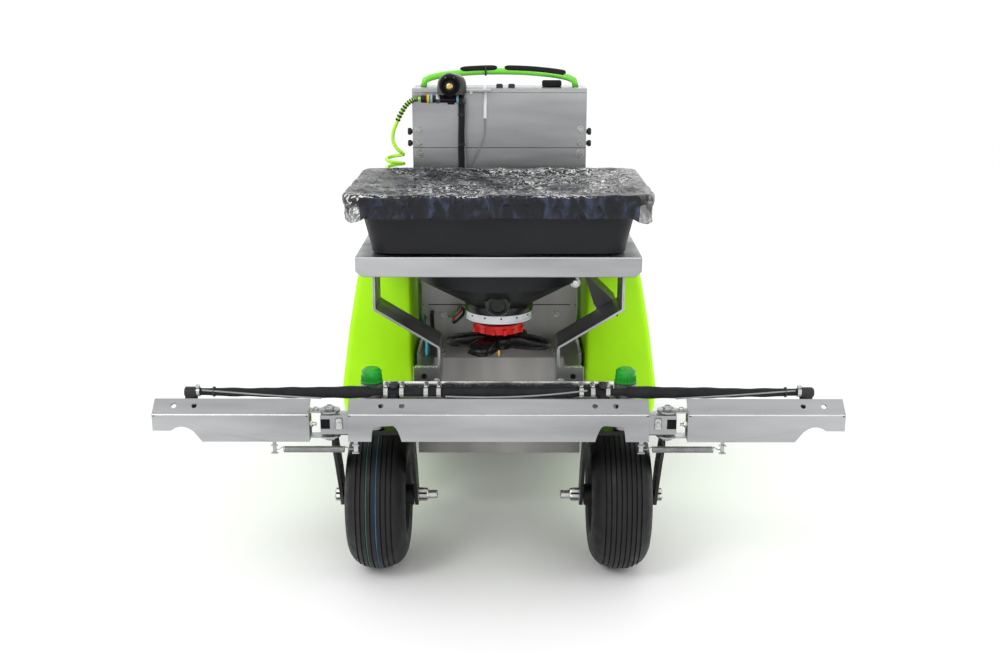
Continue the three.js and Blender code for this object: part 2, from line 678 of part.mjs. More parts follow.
function pressureGauge() {
  const case_ = cylinderY(31, 10, 905, BOX.rear + GAP, BOX.rear + 22, 24);
  return join(case_, cylinderY(34, 10, 905, BOX.rear + 16, BOX.rear + 24, 24));
}

function regulatorKnob() {
  return cylinderY(19, 10, 990, BOX.rear + GAP, BOX.rear + 26, 10);
}

add("control_box", controlBox(), STAINLESS);
add("dash_panel", dashPanel(), BLACK_STEEL);
add("handlebar", handlebar(), LIME);
add("operator_bar", operatorBar(), BLACK_STEEL);
SIDES.forEach(({ name, sign }) => add(`drive_lever_${name}`, onSide(driveLever(), sign), BLACK_PLASTIC));
add("gate_lever", gateLever(), BLACK_PLASTIC);
add("throttle_lever", throttleLever(), BLACK_PLASTIC);
add("ignition_key", ignitionKey(), STAINLESS);
add("pump_switch", pumpSwitch(), BLACK_PLASTIC);
add("pressure_gauge", pressureGauge(), BRASS);
add("regulator_knob", regulatorKnob(), RED_PLASTIC);

// ---------- hand gun, fitting and hoses ----------
function sprayGun() {
  const { x, y, z } = GUN;
  const barrel = cylinderY(27, x, z, y - 36, y + 30, 20);
  const mouth = cylinderY(13, x, z - 3, y - 44, y - 30, 16);
  const neck = box(x - 11, x + 11, y - 8, y + 20, FITTING_Z + 10 + GAP, z);
  const tongue = box(x + 8, x + 29, y - 2, y + 24, z - 11, z);
  return join(barrel, mouth, neck, tongue);
}

function gunTrigger() {
  const { x, y } = GUN;
  return box(x - 9, x + 9, y + 24, y + 28, 1094, 1120.5);
}

function hoseFitting() {
  const { y } = GUN;
  const row = cylinderX(10, y + 5, FITTING_Z, -204, -93, 12);
  const elbow = cylinderZ(10, -99, y + 5, FITTING_Z - 14, FITTING_Z + 2, 12);
  return join(row, elbow);
}

function recoilHose() {
  const { x, y, radius, coilTop } = RECOIL;
  const path = [[-204 - GAP, y, FITTING_Z], [-212, y, FITTING_Z], [-222, y, 1108], [-240, y, 1096], [-256, y, 1074], [-270, y, 1046],
    [-280, y, 1014], [-277, y, 996], [x, y, coilTop + 12], [x, y, coilTop + GAP]];
  return tube(path, radius, 8, 16);
}

function recoilCoil() {
  const { x, y, coilRadius, coilTop, coilBottom } = RECOIL;
  return cylinderZ(coilRadius, x, y, coilBottom, coilTop, 20);
}

function supplyHose() {
  const path = [[-99, 525, FITTING_Z - 14 - GAP], [-99, 526, 1060], [-101, 534, 980], [-99, 540, 860],
    [-99, 534, 700], [-99, 524, 520], [-99, 520, 372]];
  return tube(path, 8, 8, 18);
}

add("spray_gun", sprayGun(), BLACK_PLASTIC);
add("gun_trigger", gunTrigger(), RED_PLASTIC);
add("hose_fitting", hoseFitting(), BLACK_PLASTIC);
add("recoil_hose", recoilHose(), LIME);
add("recoil_coil", recoilCoil(), LIME);
add("supply_hose", supplyHose(), BLACK_PLASTIC);

// ---------- power unit ----------
const DECK_TOP = DECK_Z + DECK_THICK + GAP;

function engine() {
  const sump = box(-130, 130, 800, 1060, DECK_TOP, 380);
  const block = cylinderZ(110, 0, 930, 370, 470, 24);
  const shroud = cylinderZ(140, 0, 930, 466, 540, 24);
  const screen = cylinderZ(96, 0, 930, 536, 560, 24);
  const cylinderHead = box(-160, -100, 860, 1000, 300, 440);
  return join(sump, block, shroud, screen, cylinderHead);
}

function muffler() {
  const can = cylinderY(30, 165, 300, 830, 1010, 20);
  const outlet = cylinderY(14, 165, 300, 1005, 1060, 12);
  return join(can, outlet);
}

function fuelTank() {
  const body = box(-140, 140, 1082, 1166, 320, 560);
  const filler = cylinderZ(32, -70, 1124, 555, 582, 20);
  return join(body, filler);
}

function sprayPump() {
  const base = box(-150, -50, 480, 560, DECK_TOP, 250);
  const motor = cylinderY(42, -100, 290, 470, 600, 20);
  const head = box(-138, -60, 500, 545, 280, 362);
  const port = cylinderZ(12, -99, 520, 355, 372 - GAP, 12);
  return join(base, motor, head, port);
}

function platform() {
  const hinge = cylinderX(9, 1192, 214, -150, 150, 12);
  const pan = box(-196, 196, 1202, REAR_Y, 178, 184);
  const upstand = box(-160, 160, 1186, 1206, 178, 214);
  const flanges = [1, -1].map((sign) => onSide(box(190, 196, 1202, REAR_Y, 158, 184), sign));
  const rearLip = box(-196, 196, REAR_Y - 6, REAR_Y, 158, 184);
  return join(hinge, pan, upstand, ...flanges, rearLip);
}

add("engine", engine(), ALUMINIUM);
add("muffler", muffler(), SPRING_STEEL);
add("fuel_tank", fuelTank(), BLACK_PLASTIC);
add("spray_pump", sprayPump(), BLACK_PLASTIC);
add("platform", platform(), BLACK_STEEL);

export default machine;
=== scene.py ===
"""Looks for the stand-on spreader sprayer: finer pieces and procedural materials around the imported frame.

All places are in metres, measured from the front caster pivots, which the frame gives.
"""
import math

import bmesh
import bpy
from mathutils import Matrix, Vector, noise
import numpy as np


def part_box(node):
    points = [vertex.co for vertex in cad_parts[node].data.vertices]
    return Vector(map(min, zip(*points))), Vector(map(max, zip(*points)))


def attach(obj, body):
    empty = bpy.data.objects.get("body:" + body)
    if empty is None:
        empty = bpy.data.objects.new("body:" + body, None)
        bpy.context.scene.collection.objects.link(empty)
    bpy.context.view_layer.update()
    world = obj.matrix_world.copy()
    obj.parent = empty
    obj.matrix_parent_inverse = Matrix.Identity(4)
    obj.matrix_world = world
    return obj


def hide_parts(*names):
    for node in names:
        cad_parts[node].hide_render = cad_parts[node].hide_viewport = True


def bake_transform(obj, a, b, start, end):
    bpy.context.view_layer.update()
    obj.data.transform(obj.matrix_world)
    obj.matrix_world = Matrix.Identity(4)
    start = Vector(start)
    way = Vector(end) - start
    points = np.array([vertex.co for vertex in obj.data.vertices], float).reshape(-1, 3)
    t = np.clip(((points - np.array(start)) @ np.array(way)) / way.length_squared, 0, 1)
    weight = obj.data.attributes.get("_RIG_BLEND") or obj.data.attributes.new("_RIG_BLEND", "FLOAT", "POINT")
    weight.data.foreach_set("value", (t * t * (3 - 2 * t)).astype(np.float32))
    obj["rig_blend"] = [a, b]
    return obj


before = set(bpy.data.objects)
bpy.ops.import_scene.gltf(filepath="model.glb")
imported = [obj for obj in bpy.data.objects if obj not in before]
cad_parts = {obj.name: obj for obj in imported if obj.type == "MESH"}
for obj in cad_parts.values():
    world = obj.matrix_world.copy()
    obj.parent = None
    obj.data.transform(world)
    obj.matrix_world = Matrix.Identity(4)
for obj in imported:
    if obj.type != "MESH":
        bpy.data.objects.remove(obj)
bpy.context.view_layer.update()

SIDES = ("left", "right")
LEFT_RIGHT = (("left", 1), ("right", -1))


def middle(node):
    low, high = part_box(node)
    return (low + high) / 2


PIVOT_Y = middle("pivot_cap_left").y
UP = (0, 0, 1)
ACROSS = (1, 0, 0)
FORWARD = (0, -1, 0)
BACKWARD = (0, 1, 0)


def at(x, y, z):
    """A point given from the line between the caster pivots, on the ground."""
    return Vector((x, y + PIVOT_Y, z))


# ---------- camera ----------
LENS = 43.2
CAMERA_BACK = 2.645
CAMERA_HEIGHT = 1.345
CAMERA_TILT = math.radians(15.3)
CAMERA_SIDE = 0.012
CAMERA_TURN = 0.0033


def make_camera():
    data = bpy.data.cameras.new("camera")
    data.lens = LENS
    camera = bpy.data.objects.new("camera", data)
    camera.location = at(CAMERA_SIDE, -CAMERA_BACK, CAMERA_HEIGHT)
    camera.rotation_euler = (math.pi / 2 - CAMERA_TILT, 0, CAMERA_TURN)
    bpy.context.scene.collection.objects.link(camera)
    bpy.context.scene.camera = camera


make_camera()


# ---------- materials ----------
def link(tree, source, target):
    tree.links.new(source, target)


def feed(tree, value, socket):
    """Links an output of a node to a socket, or sets the socket to a plain value."""
    if isinstance(value, bpy.types.NodeSocket):
        link(tree, value, socket)
    else:
        socket.default_value = value


def noise_field(tree, scale, detail=4.0, stretch=(1, 1, 1), distortion=0.0):
    """Noise over the object's own space, stretched along its axes."""
    coords = tree.nodes.new("ShaderNodeTexCoord")
    mapping = tree.nodes.new("ShaderNodeMapping")
    mapping.inputs["Scale"].default_value = stretch
    texture = tree.nodes.new("ShaderNodeTexNoise")
    texture.inputs["Scale"].default_value = scale
    texture.inputs["Detail"].default_value = detail
    texture.inputs["Distortion"].default_value = distortion
    link(tree, coords.outputs["Object"], mapping.inputs["Vector"])
    link(tree, mapping.outputs["Vector"], texture.inputs["Vector"])
    return texture.outputs["Fac"]


def calculate(tree, operation, *values):
    node = tree.nodes.new("ShaderNodeMath")
    node.operation = operation
    for socket, value in zip(node.inputs, values):
        feed(tree, value, socket)
    return node.outputs[0]


def mix_color(tree, factor, first, second, blend="MIX"):
    node = tree.nodes.new("ShaderNodeMix")
    node.data_type = "RGBA"
    node.blend_type = blend
    for name, value in (("Factor", factor), ("A", first), ("B", second)):
        feed(tree, value, node.inputs[name])
    return node.outputs["Result"]


def add_bump(tree, height, strength, distance=0.001):
    """Raises the surface of the tree's shader by a height field."""
    bump = tree.nodes.new("ShaderNodeBump")
    bump.inputs["Strength"].default_value = strength
    bump.inputs["Distance"].default_value = distance
    link(tree, height, bump.inputs["Height"])
    link(tree, bump.outputs["Normal"], tree.nodes["Principled BSDF"].inputs["Normal"])


def spread(tree, factor, low, high):
    """Spreads the middle of a noise field over a range of values."""
    node = tree.nodes.new("ShaderNodeMapRange")
    node.inputs["From Min"].default_value = 0.3
    node.inputs["From Max"].default_value = 0.7
    node.inputs["To Min"].default_value = low
    node.inputs["To Max"].default_value = high
    link(tree, factor, node.inputs["Value"])
    return node.outputs["Result"]


def ramp(tree, factor, stops):
    """Colour ramp over a field, from (position, colour) stops."""
    node = tree.nodes.new("ShaderNodeValToRGB")
    elements = node.color_ramp.elements
    while len(elements) < len(stops):
        elements.new(0.5)
    for element, (position, color) in zip(elements, stops):
        element.position = position
        element.color = (*color, 1)
    link(tree, factor, node.inputs["Fac"])
    return node.outputs["Color"]


def shade(color, factor):
    return tuple(min(1.0, c * factor) for c in color)


BLACK = (0, 0, 0)
WHITE = (1, 1, 1)


def surface(name, color, rough, metallic=0.0, mottle=0.12, mottle_scale=9, grain=0.0, grain_scale=400,
            stretch=(1, 1, 1), rough_spread=0.07, coat=0.0, edge_wear_and_glint=None, specular=0.5):
    """Mottled colour, uneven roughness and fine grain; the edge colour is put on sharp edges, partly as wear
    and partly as a painted edge highlight.
    """
    material = bpy.data.materials.new(name)
    material.use_nodes = True
    tree = material.node_tree
    shader = tree.nodes["Principled BSDF"]
    shader.inputs["Metallic"].default_value = metallic
    shader.inputs["Coat Weight"].default_value = coat
    shader.inputs["Coat Roughness"].default_value = 0.12
    shader.inputs["Specular IOR Level"].default_value = specular
    cloud = noise_field(tree, mottle_scale, 5, stretch)
    base = ramp(tree, cloud, [(0.32, shade(color, 1 - mottle)), (0.68, shade(color, 1 + mottle))])
    if edge_wear_and_glint:
        # Sharp edges get the lighter edge colour: partly wear, partly a painted edge highlight.
        geometry = tree.nodes.new("ShaderNodeNewGeometry")
        edge = ramp(tree, geometry.outputs["Pointiness"], [(0.53, BLACK), (0.6, WHITE)])
        base = mix_color(tree, edge, base, (*edge_wear_and_glint, 1))
    link(tree, base, shader.inputs["Base Color"])
    smudge = noise_field(tree, mottle_scale * 2.3, 3, stretch)
    link(tree, spread(tree, smudge, rough - rough_spread, rough + rough_spread), shader.inputs["Roughness"])
    if grain:
        add_bump(tree, noise_field(tree, grain_scale, 2, stretch), grain)
    return material


def braided_sleeve(name):
    """Woven hose sleeve: two crossed bands of waves."""
    material = surface(name, (0.008, 0.0085, 0.011), 0.6, mottle=0.35, mottle_scale=30, specular=0.25)
    tree = material.node_tree
    coords = tree.nodes.new("ShaderNodeTexCoord")
    heights = []
    for lean in (1, -1):
        mapping = tree.nodes.new("ShaderNodeMapping")
        mapping.inputs["Rotation"].default_value = (0.6 * lean, 0, 0.75 * lean)
        wave = tree.nodes.new("ShaderNodeTexWave")
        wave.inputs["Scale"].default_value = 170
        link(tree, coords.outputs["Object"], mapping.inputs["Vector"])
        link(tree, mapping.outputs["Vector"], wave.inputs["Vector"])
        heights.append(wave.outputs["Fac"])
    add_bump(tree, calculate(tree, "MAXIMUM", *heights), 0.5)
    return material


def contour_mask(tree, scale, width, stretch):
    """Thin wandering lines, white where noise crosses its middle value."""
    field = noise_field(tree, scale, 4, stretch, 1.1)
    away = calculate(tree, "ABSOLUTE", calculate(tree, "SUBTRACT", field, 0.5))
    return ramp(tree, away, [(width * 0.4, WHITE), (width, BLACK)])


def vinyl(name, alpha, color, patches):
    """Crumpled glossy vinyl, with painted shade in its fold valleys and painted highlights on its crests;
    patches are the noise values between which white painted crease highlights grow in.
    """
    material = surface(name, color, 0.3, mottle=0.3, mottle_scale=14, rough_spread=0.08, specular=0.3)
    tree = material.node_tree
    shader = tree.nodes["Principled BSDF"]
    shader.inputs["Alpha"].default_value = alpha
    folds = noise_field(tree, 22, 4, (1.5, 1, 0.7), 1.4)
    add_bump(tree, folds, 1.0, 0.012)
    # Painted shade in the fold valleys and painted highlight on the fold crests.
    fold_shade_and_highlight = ramp(tree, folds, [(0.40, shade(color, 0.4)), (0.52, color), (0.68, shade(color, 4.5))])
    if patches:
        # White painted highlights along thin crease lines, where light catches the crumpled film.
        lines = contour_mask(tree, 42, 0.030, (1, 1.5, 1))
        where = ramp(tree, noise_field(tree, 7, 3), [(patches[0], BLACK), (patches[1], WHITE)])
        crease_highlights = mix_color(tree, 1, lines, where, "MULTIPLY")
        fold_shade_and_highlight = mix_color(tree, crease_highlights, fold_shade_and_highlight, (0.82, 0.82, 0.80, 1))
    link(tree, fold_shade_and_highlight, shader.inputs["Base Color"])
    return material


LIME_COLOR = (0.43, 0.98, 0.0)
FINISHES = {
    "stainless": dict(color=(0.385, 0.392, 0.40), rough=0.36, metallic=1.0, mottle=0.30, mottle_scale=9,
                      grain=0.14, grain_scale=900, stretch=(0.16, 1, 1), rough_spread=0.09),
    "stainless_dark": dict(color=(0.28, 0.275, 0.265), rough=0.42, metallic=1.0, mottle=0.25,
                           mottle_scale=6, grain=0.14, grain_scale=900, stretch=(1, 1, 0.16)),
    "lime_plastic": dict(color=LIME_COLOR, rough=0.46, mottle=0.07, mottle_scale=4, grain=0.2,
                         grain_scale=260, specular=0.3),
    "lime_paint": dict(color=(0.16, 0.66, 0.03), rough=0.28, mottle=0.07, mottle_scale=8, grain=0.05,
                       grain_scale=300, coat=0.35),
    "black_steel": dict(color=(0.009, 0.009, 0.010), rough=0.42, mottle=0.4, mottle_scale=12, grain=0.3,
                        grain_scale=500, edge_wear_and_glint=(0.07, 0.07, 0.07), specular=0.25),
    "tyre_rubber": dict(color=(0.0075, 0.0078, 0.0088), rough=0.5, mottle=0.45, mottle_scale=18, grain=0.4,
                        grain_scale=320, rough_spread=0.1, edge_wear_and_glint=(0.022, 0.022, 0.023), specular=0.2),
    "charcoal_plastic": dict(color=(0.0075, 0.008, 0.010), rough=0.42, mottle=0.2, mottle_scale=7,
                             grain=0.35, grain_scale=420, edge_wear_and_glint=(0.025, 0.025, 0.028), specular=0.22),
    "white_plastic": dict(color=(0.84, 0.86, 0.90), rough=0.4, mottle=0.07, mottle_scale=20, grain=0.1),
    "red_plastic": dict(color=(0.70, 0.010, 0.008), rough=0.4, mottle=0.18, mottle_scale=20, grain=0.15),
    "black_plastic": dict(color=(0.009, 0.009, 0.010), rough=0.42, mottle=0.25, mottle_scale=25, grain=0.3,
                          grain_scale=600, edge_wear_and_glint=(0.03, 0.03, 0.032), specular=0.25),
    "hose_rubber": dict(color=(0.009, 0.009, 0.010), rough=0.5, mottle=0.3, mottle_scale=30, grain=0.2,
                        specular=0.25),
    "spring_steel": dict(color=(0.27, 0.27, 0.275), rough=0.36, metallic=1.0, mottle=0.18, mottle_scale=40,
                         grain=0.1),
    "zinc": dict(color=(0.50, 0.50, 0.49), rough=0.27, metallic=1.0, mottle=0.15, mottle_scale=60,
                 grain=0.1),
    "lime_hose": dict(color=(0.42, 0.86, 0.02), rough=0.26, mottle=0.08, mottle_scale=30, coat=0.3),
    "brass": dict(color=(0.62, 0.42, 0.16), rough=0.3, metallic=1.0, mottle=0.15, mottle_scale=60,
                  grain=0.1),
    "cast_aluminium": dict(color=(0.42, 0.43, 0.44), rough=0.5, metallic=0.85, mottle=0.15, mottle_scale=30,
                           grain=0.5, grain_scale=500),
    "blue_plastic": dict(color=(0.22, 0.47, 0.62), rough=0.4, mottle=0.1, mottle_scale=40, grain=0.1),
    "yellow_plastic": dict(color=(0.72, 0.5, 0.03), rough=0.4, mottle=0.1, mottle_scale=40, grain=0.1),
    "grey_cable": dict(color=(0.23, 0.24, 0.25), rough=0.45, mottle=0.1, mottle_scale=40, grain=0.1),
    "cyan_hose": dict(color=(0.03, 0.42, 0.50), rough=0.35, mottle=0.1, mottle_scale=40, grain=0.1),
    "gloss_black": dict(color=(0.005, 0.005, 0.006), rough=0.26, mottle=0.3, mottle_scale=20, grain=0.15,
                        grain_scale=300, edge_wear_and_glint=(0.02, 0.02, 0.022), specular=0.3),
    "foam_rubber": dict(color=(0.010, 0.010, 0.011), rough=0.75, mottle=0.3, mottle_scale=60, grain=0.5,
                        grain_scale=700, specular=0.2),
    "olive_plastic": dict(color=(0.022, 0.022, 0.016), rough=0.3, mottle=0.3, mottle_scale=40, grain=0.2),
    "emerald_plastic": dict(color=(0.008, 0.30, 0.02), rough=0.32, mottle=0.15, mottle_scale=30, grain=0.1),
    "blue_paint": dict(color=(0.015, 0.13, 0.27), rough=0.6, mottle=0.3, mottle_scale=30),
    "green_paint": dict(color=(0.02, 0.14, 0.07), rough=0.6, mottle=0.3, mottle_scale=30),
    # Flat near-black: painted shade in holes, gaps and recesses, and also the real dark of printed marks and
    # seam lines.
    "shadow": dict(color=(0.006, 0.006, 0.0065), rough=0.7, mottle=0.2, mottle_scale=40, specular=0.1),
    # Near-white metal, painted as the highlight that bends and sheet edges catch.
    "painted_highlight_metal": dict(color=(0.80, 0.80, 0.79), rough=0.25, metallic=1.0, mottle=0.08, mottle_scale=30),
    "gauge_face": dict(color=(0.8, 0.8, 0.78), rough=0.35, mottle=0.04, mottle_scale=40, grain=0.05),
}
MATERIALS = {name: surface(name, **finish) for name, finish in FINISHES.items()}
MATERIALS["braided"] = braided_sleeve("braided_sleeve")
MATERIALS["clear_vinyl"] = vinyl("clear_vinyl", 0.96, (0.007, 0.009, 0.014), (0.40, 0.56))
MATERIALS["vinyl_skirt"] = vinyl("vinyl_skirt", 0.98, (0.006, 0.008, 0.015), None)
# The side copy is lighter and more see-through than the top and skirt copies: painted light coming through
# the film where it hangs beyond the dark hopper.
MATERIALS["vinyl_side"] = vinyl("vinyl_side", 0.86, (0.055, 0.056, 0.055), (0.40, 0.56))


# ---------- mesh building ----------
class Shape:
    """Vertices and faces that the drawing calls below add to."""

    def __init__(self):
        self.vertices = []
        self.faces = []

    def grid(self, rings, close_ring=True, caps=True):
        """Skin over rings that have the same number of points."""
        start, count = len(self.vertices), len(rings[0])
        self.vertices += [Vector(p) for ring in rings for p in ring]
        span = count if close_ring else count - 1
        for r in range(len(rings) - 1):
            for i in range(span):
                a = start + r * count + i
                b = start + r * count + (i + 1) % count
                self.faces.append((a, b, b + count, a + count))
        if caps and close_ring:
            last = start + (len(rings) - 1) * count
            self.faces.append(tuple(range(start + count - 1, start - 1, -1)))
            self.faces.append(tuple(range(last, last + count)))
        return self

    def turned(self, profile, origin, axis, sides=32, caps=True):
        """Profile of (radius, distance along axis), turned round the axis; open profiles get end caps."""
        side, up = frame_across(Vector(axis))
        direction = Vector(axis).normalized()
        rings = []
        for radius, along in profile:
            centre = Vector(origin) + direction * along
            rings.append([centre + (side * math.cos(t) + up * math.sin(t)) * radius
                          for t in angles(sides)])
        return self.grid(rings, caps=caps)

    def band(self, inner, outer, start, end, origin, axis, sides):
        """Flat ring between two radii and two distances along the axis."""
        profile = [(inner, start), (outer, start), (outer, end), (inner, end), (inner, start)]
        return self.turned(profile, origin, axis, sides, caps=False)

    def lines(self, points, radius, sides=8):
        """A straight rod between each two points of a list."""
        for pair in zip(points, points[1:]):
            self.tube(pair, radius, sides)
        return self

    def tube(self, path, radius, sides=12, caps=True):
        """Round tube along a list of points; radius is a number or a function of the share of the way."""
        points = [Vector(p) for p in path]
        side, up = frame_across(points[1] - points[0])
        rings = []
        for i, point in enumerate(points):
            ahead = points[min(i + 1, len(points) - 1)]
            behind = points[max(i - 1, 0)]
            direction = (ahead - behind).normalized()
            up = direction.cross(side).normalized()
            side = up.cross(direction).normalized()
            size = radius(i / (len(points) - 1)) if callable(radius) else radius
            rings.append([point + (side * math.cos(t) + up * math.sin(t)) * size for t in angles(sides)])
        return self.grid(rings, caps=caps)

    def block(self, corner, opposite, bevel=0.0015):
        """Box between two opposite corners, with all its edges chamfered."""
        low = Vector([min(pair) for pair in zip(corner, opposite)])
        high = Vector([max(pair) for pair in zip(corner, opposite)])
        inset = min(bevel, min(high - low) * 0.45)
        levels = ((low.z, inset), (low.z + inset, 0), (high.z - inset, 0), (high.z, inset))
        rings = []
        for z, shrink in levels:
            x0, x1 = low.x + shrink, high.x - shrink
            y0, y1 = low.y + shrink, high.y - shrink
            rings.append([(x0 + inset, y0, z), (x1 - inset, y0, z), (x1, y0 + inset, z),
                          (x1, y1 - inset, z),
                          (x1 - inset, y1, z), (x0 + inset, y1,
                                                z), (x0, y1 - inset, z), (x0, y0 + inset, z)])
        return self.grid(rings)

    def hex_bolt(self, origin, axis, across=0.013, height=0.0055, washer=0.0):
        """Hex head with a chamfered top, on a washer if washer is its radius."""
        base = 0.0
        if washer:
            self.turned([(washer, 0), (washer, 0.0013), (washer - 0.0006, 0.0018)], origin, axis, 20)
            base = 0.0018
        radius = across / math.sqrt(3)
        self.turned([(radius, base), (radius, base + height * 0.8), (radius * 0.86, base + height)],
                    origin, axis, 6)
        return self

def angles(count):
    return [2 * math.pi * i / count for i in range(count)]


def spoke(turn):
    """Level unit vector at an angle."""
    return Vector((math.cos(turn), math.sin(turn), 0))


def frame_across(direction):
    direction = direction.normalized()
    helper = Vector(UP) if abs(direction.z) < 0.9 else Vector(ACROSS)
    side = helper.cross(direction).normalized()
    return side, direction.cross(side).normalized()


def curve_through(points, steps):
    """Catmull-Rom curve through the points, with steps points to each span."""
    points = [Vector(p) for p in points]
    padded = [points[0] * 2 - points[1], *points, points[-1] * 2 - points[-2]]
    result = []
    for i in range(1, len(padded) - 2):
        a, b, c, d = padded[i - 1:i + 3]
        for k in range(steps):
            t = k / steps
            result.append(0.5 * (2 * b + (c - a) * t + (2 * a - 5 * b + 4 * c - d) * t ** 2
                                 + (3 * b - a - 3 * c + d) * t ** 3))
    result.append(points[-1])
    return result


def piece(name, shape, material, body="chassis", flat_angle=38, replaces=()):
    """Makes an object of a shape, riding on a body unless that is None, with its material."""
    mesh = bpy.data.meshes.new(name)
    mesh.from_pydata([tuple(v) for v in shape.vertices], [], shape.faces)
    mesh.validate()
    mesh.polygons.foreach_set("use_smooth", [True] * len(mesh.polygons))
    mesh.set_sharp_from_angle(angle=math.radians(flat_angle))
    mesh.materials.append(MATERIALS[material])
    made = bpy.data.objects.new(name, mesh)
    bpy.context.scene.collection.objects.link(made)
    face_outwards(made)
    if body:
        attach(made, body)
    if replaces:
        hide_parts(*replaces)
    return made


def face_outwards(made):
    """Joins coincident points and turns the faces outwards."""
    work = bmesh.new()
    work.from_mesh(made.data)
    bmesh.ops.remove_doubles(work, verts=work.verts, dist=1e-7)
    bmesh.ops.recalc_face_normals(work, faces=work.faces)
    work.to_mesh(made.data)
    work.free()


# ---------- recoil hose (a free cord, so it is made first) ----------
HOSE_RADIUS = 0.00475
COIL_CENTRE = (-0.275, 0.525)
COIL_TOP = 0.966
COIL_BOTTOM = 0.802
COIL_TURNS = 7
COIL_RADIUS = 0.0228


def recoil_route():
    """Out of the fitting, down to the coil, round its turns and in to the tank at its foot."""
    lead = [at(*p) for p in ((-0.2045, 0.525, 1.110), (-0.212, 0.525, 1.110), (-0.224, 0.525, 1.108),
                             (-0.240, 0.525, 1.097), (-0.255, 0.525, 1.076), (-0.268, 0.525, 1.050),
                             (-0.278, 0.525, 1.024), (-0.279, 0.523, 1.002), (-0.270, 0.519, 0.984))]
    x, y = COIL_CENTRE
    turns = []
    per_turn = 20
    for i in range(COIL_TURNS * per_turn + 1):
        angle = 2 * math.pi * i / per_turn
        share = i / (COIL_TURNS * per_turn)
        z = COIL_TOP + (COIL_BOTTOM - COIL_TOP) * share
        turns.append(at(x + COIL_RADIUS * math.cos(angle), y + COIL_RADIUS * math.sin(angle), z))
    approach = at(x + COIL_RADIUS * 0.9, y - 0.009, COIL_TOP + 0.004)
    return curve_through([*lead, approach], 3)[:-1] + turns


def recoil_hose():
    route = recoil_route()
    hose = piece("recoil_hose_line", Shape().tube(route, HOSE_RADIUS, 12), "lime_hose",
                 replaces=("recoil_hose", "recoil_coil"))
    striped = Shape()
    for a, b in list(zip(route, route[1:]))[3:15]:
        striped.tube([a, a.lerp(b, 0.5)], HOSE_RADIUS + 0.0022, 14)
    relief = piece("hose_strain_relief", striped, "black_plastic")


recoil_hose()


# ---------- tires ----------
SIDEWALL = [(0.0, 0.34), (0.02, 0.2), (0.08, 0.1), (0.14, 0.12), (0.17, 0.07), (0.3, 0.01), (0.455, 0.0),
            (0.584, 0.035), (0.693, 0.105), (0.772, 0.18)]
TREAD_SHARE = 0.74
CROWN_DROP = 0.017


def tread_line(radius, half, ribs, depth):
    """Points over the tread, with a groove between each two ribs."""
    edge = half * TREAD_SHARE
    groove = 0.0016
    line = []
    for i in range(ribs + 1):
        along = -edge + 2 * edge * i / ribs
        top = radius - CROWN_DROP * abs(along / edge) ** 2.4
        if 0 < i < ribs:
            line += [(top, along - groove), (top - depth, along - groove * 0.5),
                     (top - depth, along + groove * 0.5),
                     (top, along + groove)]
        else:
            line.append((top, along))
    return line


def tire_section(radius, half, bead, ribs, depth):
    height = radius - bead
    side = [(bead + height * up, -half * (1 - inset)) for up, inset in SIDEWALL]
    other = [(r, -along) for r, along in reversed(side)]
    return [*side, *tread_line(radius, half, ribs, depth), *other, side[0]]


def tread_lug(radius, along, angle, width, length, height):
    """One raised turf lug, as the eight corners of a block that narrows outwards."""
    corners = []
    for lift, shrink in ((-0.002, 1.0), (height, 0.82)):
        for a, b in ((-1, -1), (1, -1), (1, 1), (-1, 1)):
            turn = angle + b * shrink * length / 2 / radius
            r = radius + lift
            corners.append((along + a * shrink * width / 2, -r * math.sin(turn), r * math.cos(turn)))
    return corners


def turf_lugs(centre, radius, half):
    lugs = Shape()
    rows = (-0.62, -0.31, 0.0, 0.31, 0.62)
    count = 34
    for row, share in enumerate(rows):
        for i in range(count):
            angle = 2 * math.pi * (i + 0.5 * (row % 2)) / count
            drop = CROWN_DROP * abs(share / TREAD_SHARE) ** 2.4
            corners = tread_lug(radius - 0.006 - drop, share * half, angle, 0.026, 0.027, 0.006)
            points = [centre + Vector(c) for c in corners]
            lugs.grid([points[:4], points[4:]])
    return lugs


def make_tires():
    for name in SIDES:
        for end, ribs, groove in (("front", 9, 0.004), ("rear", 2, 0.001)):
            node = f"{end}_tire_{name}"
            low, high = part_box(node)
            centre = middle(node)
            radius, half = (high.z - low.z) / 2, (high.x - low.x) / 2
            rim_low, rim_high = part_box(f"{end}_rim_{name}")
            bead = (rim_high.z - rim_low.z) / 2 + 0.001
            body = f"{end}_wheel_{name}"
            carcass = radius if end == "front" else radius - 0.005
            section = tire_section(carcass, half, bead, ribs, groove)
            tire = Shape().turned(section, centre, ACROSS, 112, caps=False)
            piece(f"{node}_carcass", tire, "tyre_rubber", body, flat_angle=30, replaces=(node,))
            if end == "rear":
                piece(f"{node}_lugs", turf_lugs(centre, radius, half), "tyre_rubber", body)


def make_tire_lines():
    """Two thin coloured mould lines on the tread of one front tire."""
    low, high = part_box("front_tire_right")
    centre = (low + high) / 2
    radius = (high.z - low.z) / 2
    for name, material, along in (("tire_line_blue", "blue_paint", 0.0056),
                                  ("tire_line_green", "green_paint", -0.0175)):
        top = radius - CROWN_DROP * abs(along / (0.072 * TREAD_SHARE)) ** 2.4 + 0.0002
        line = Shape().band(top - 0.004, top, along, along + 0.0016, centre, ACROSS, 112)
        piece(name, line, material, "front_wheel_right")


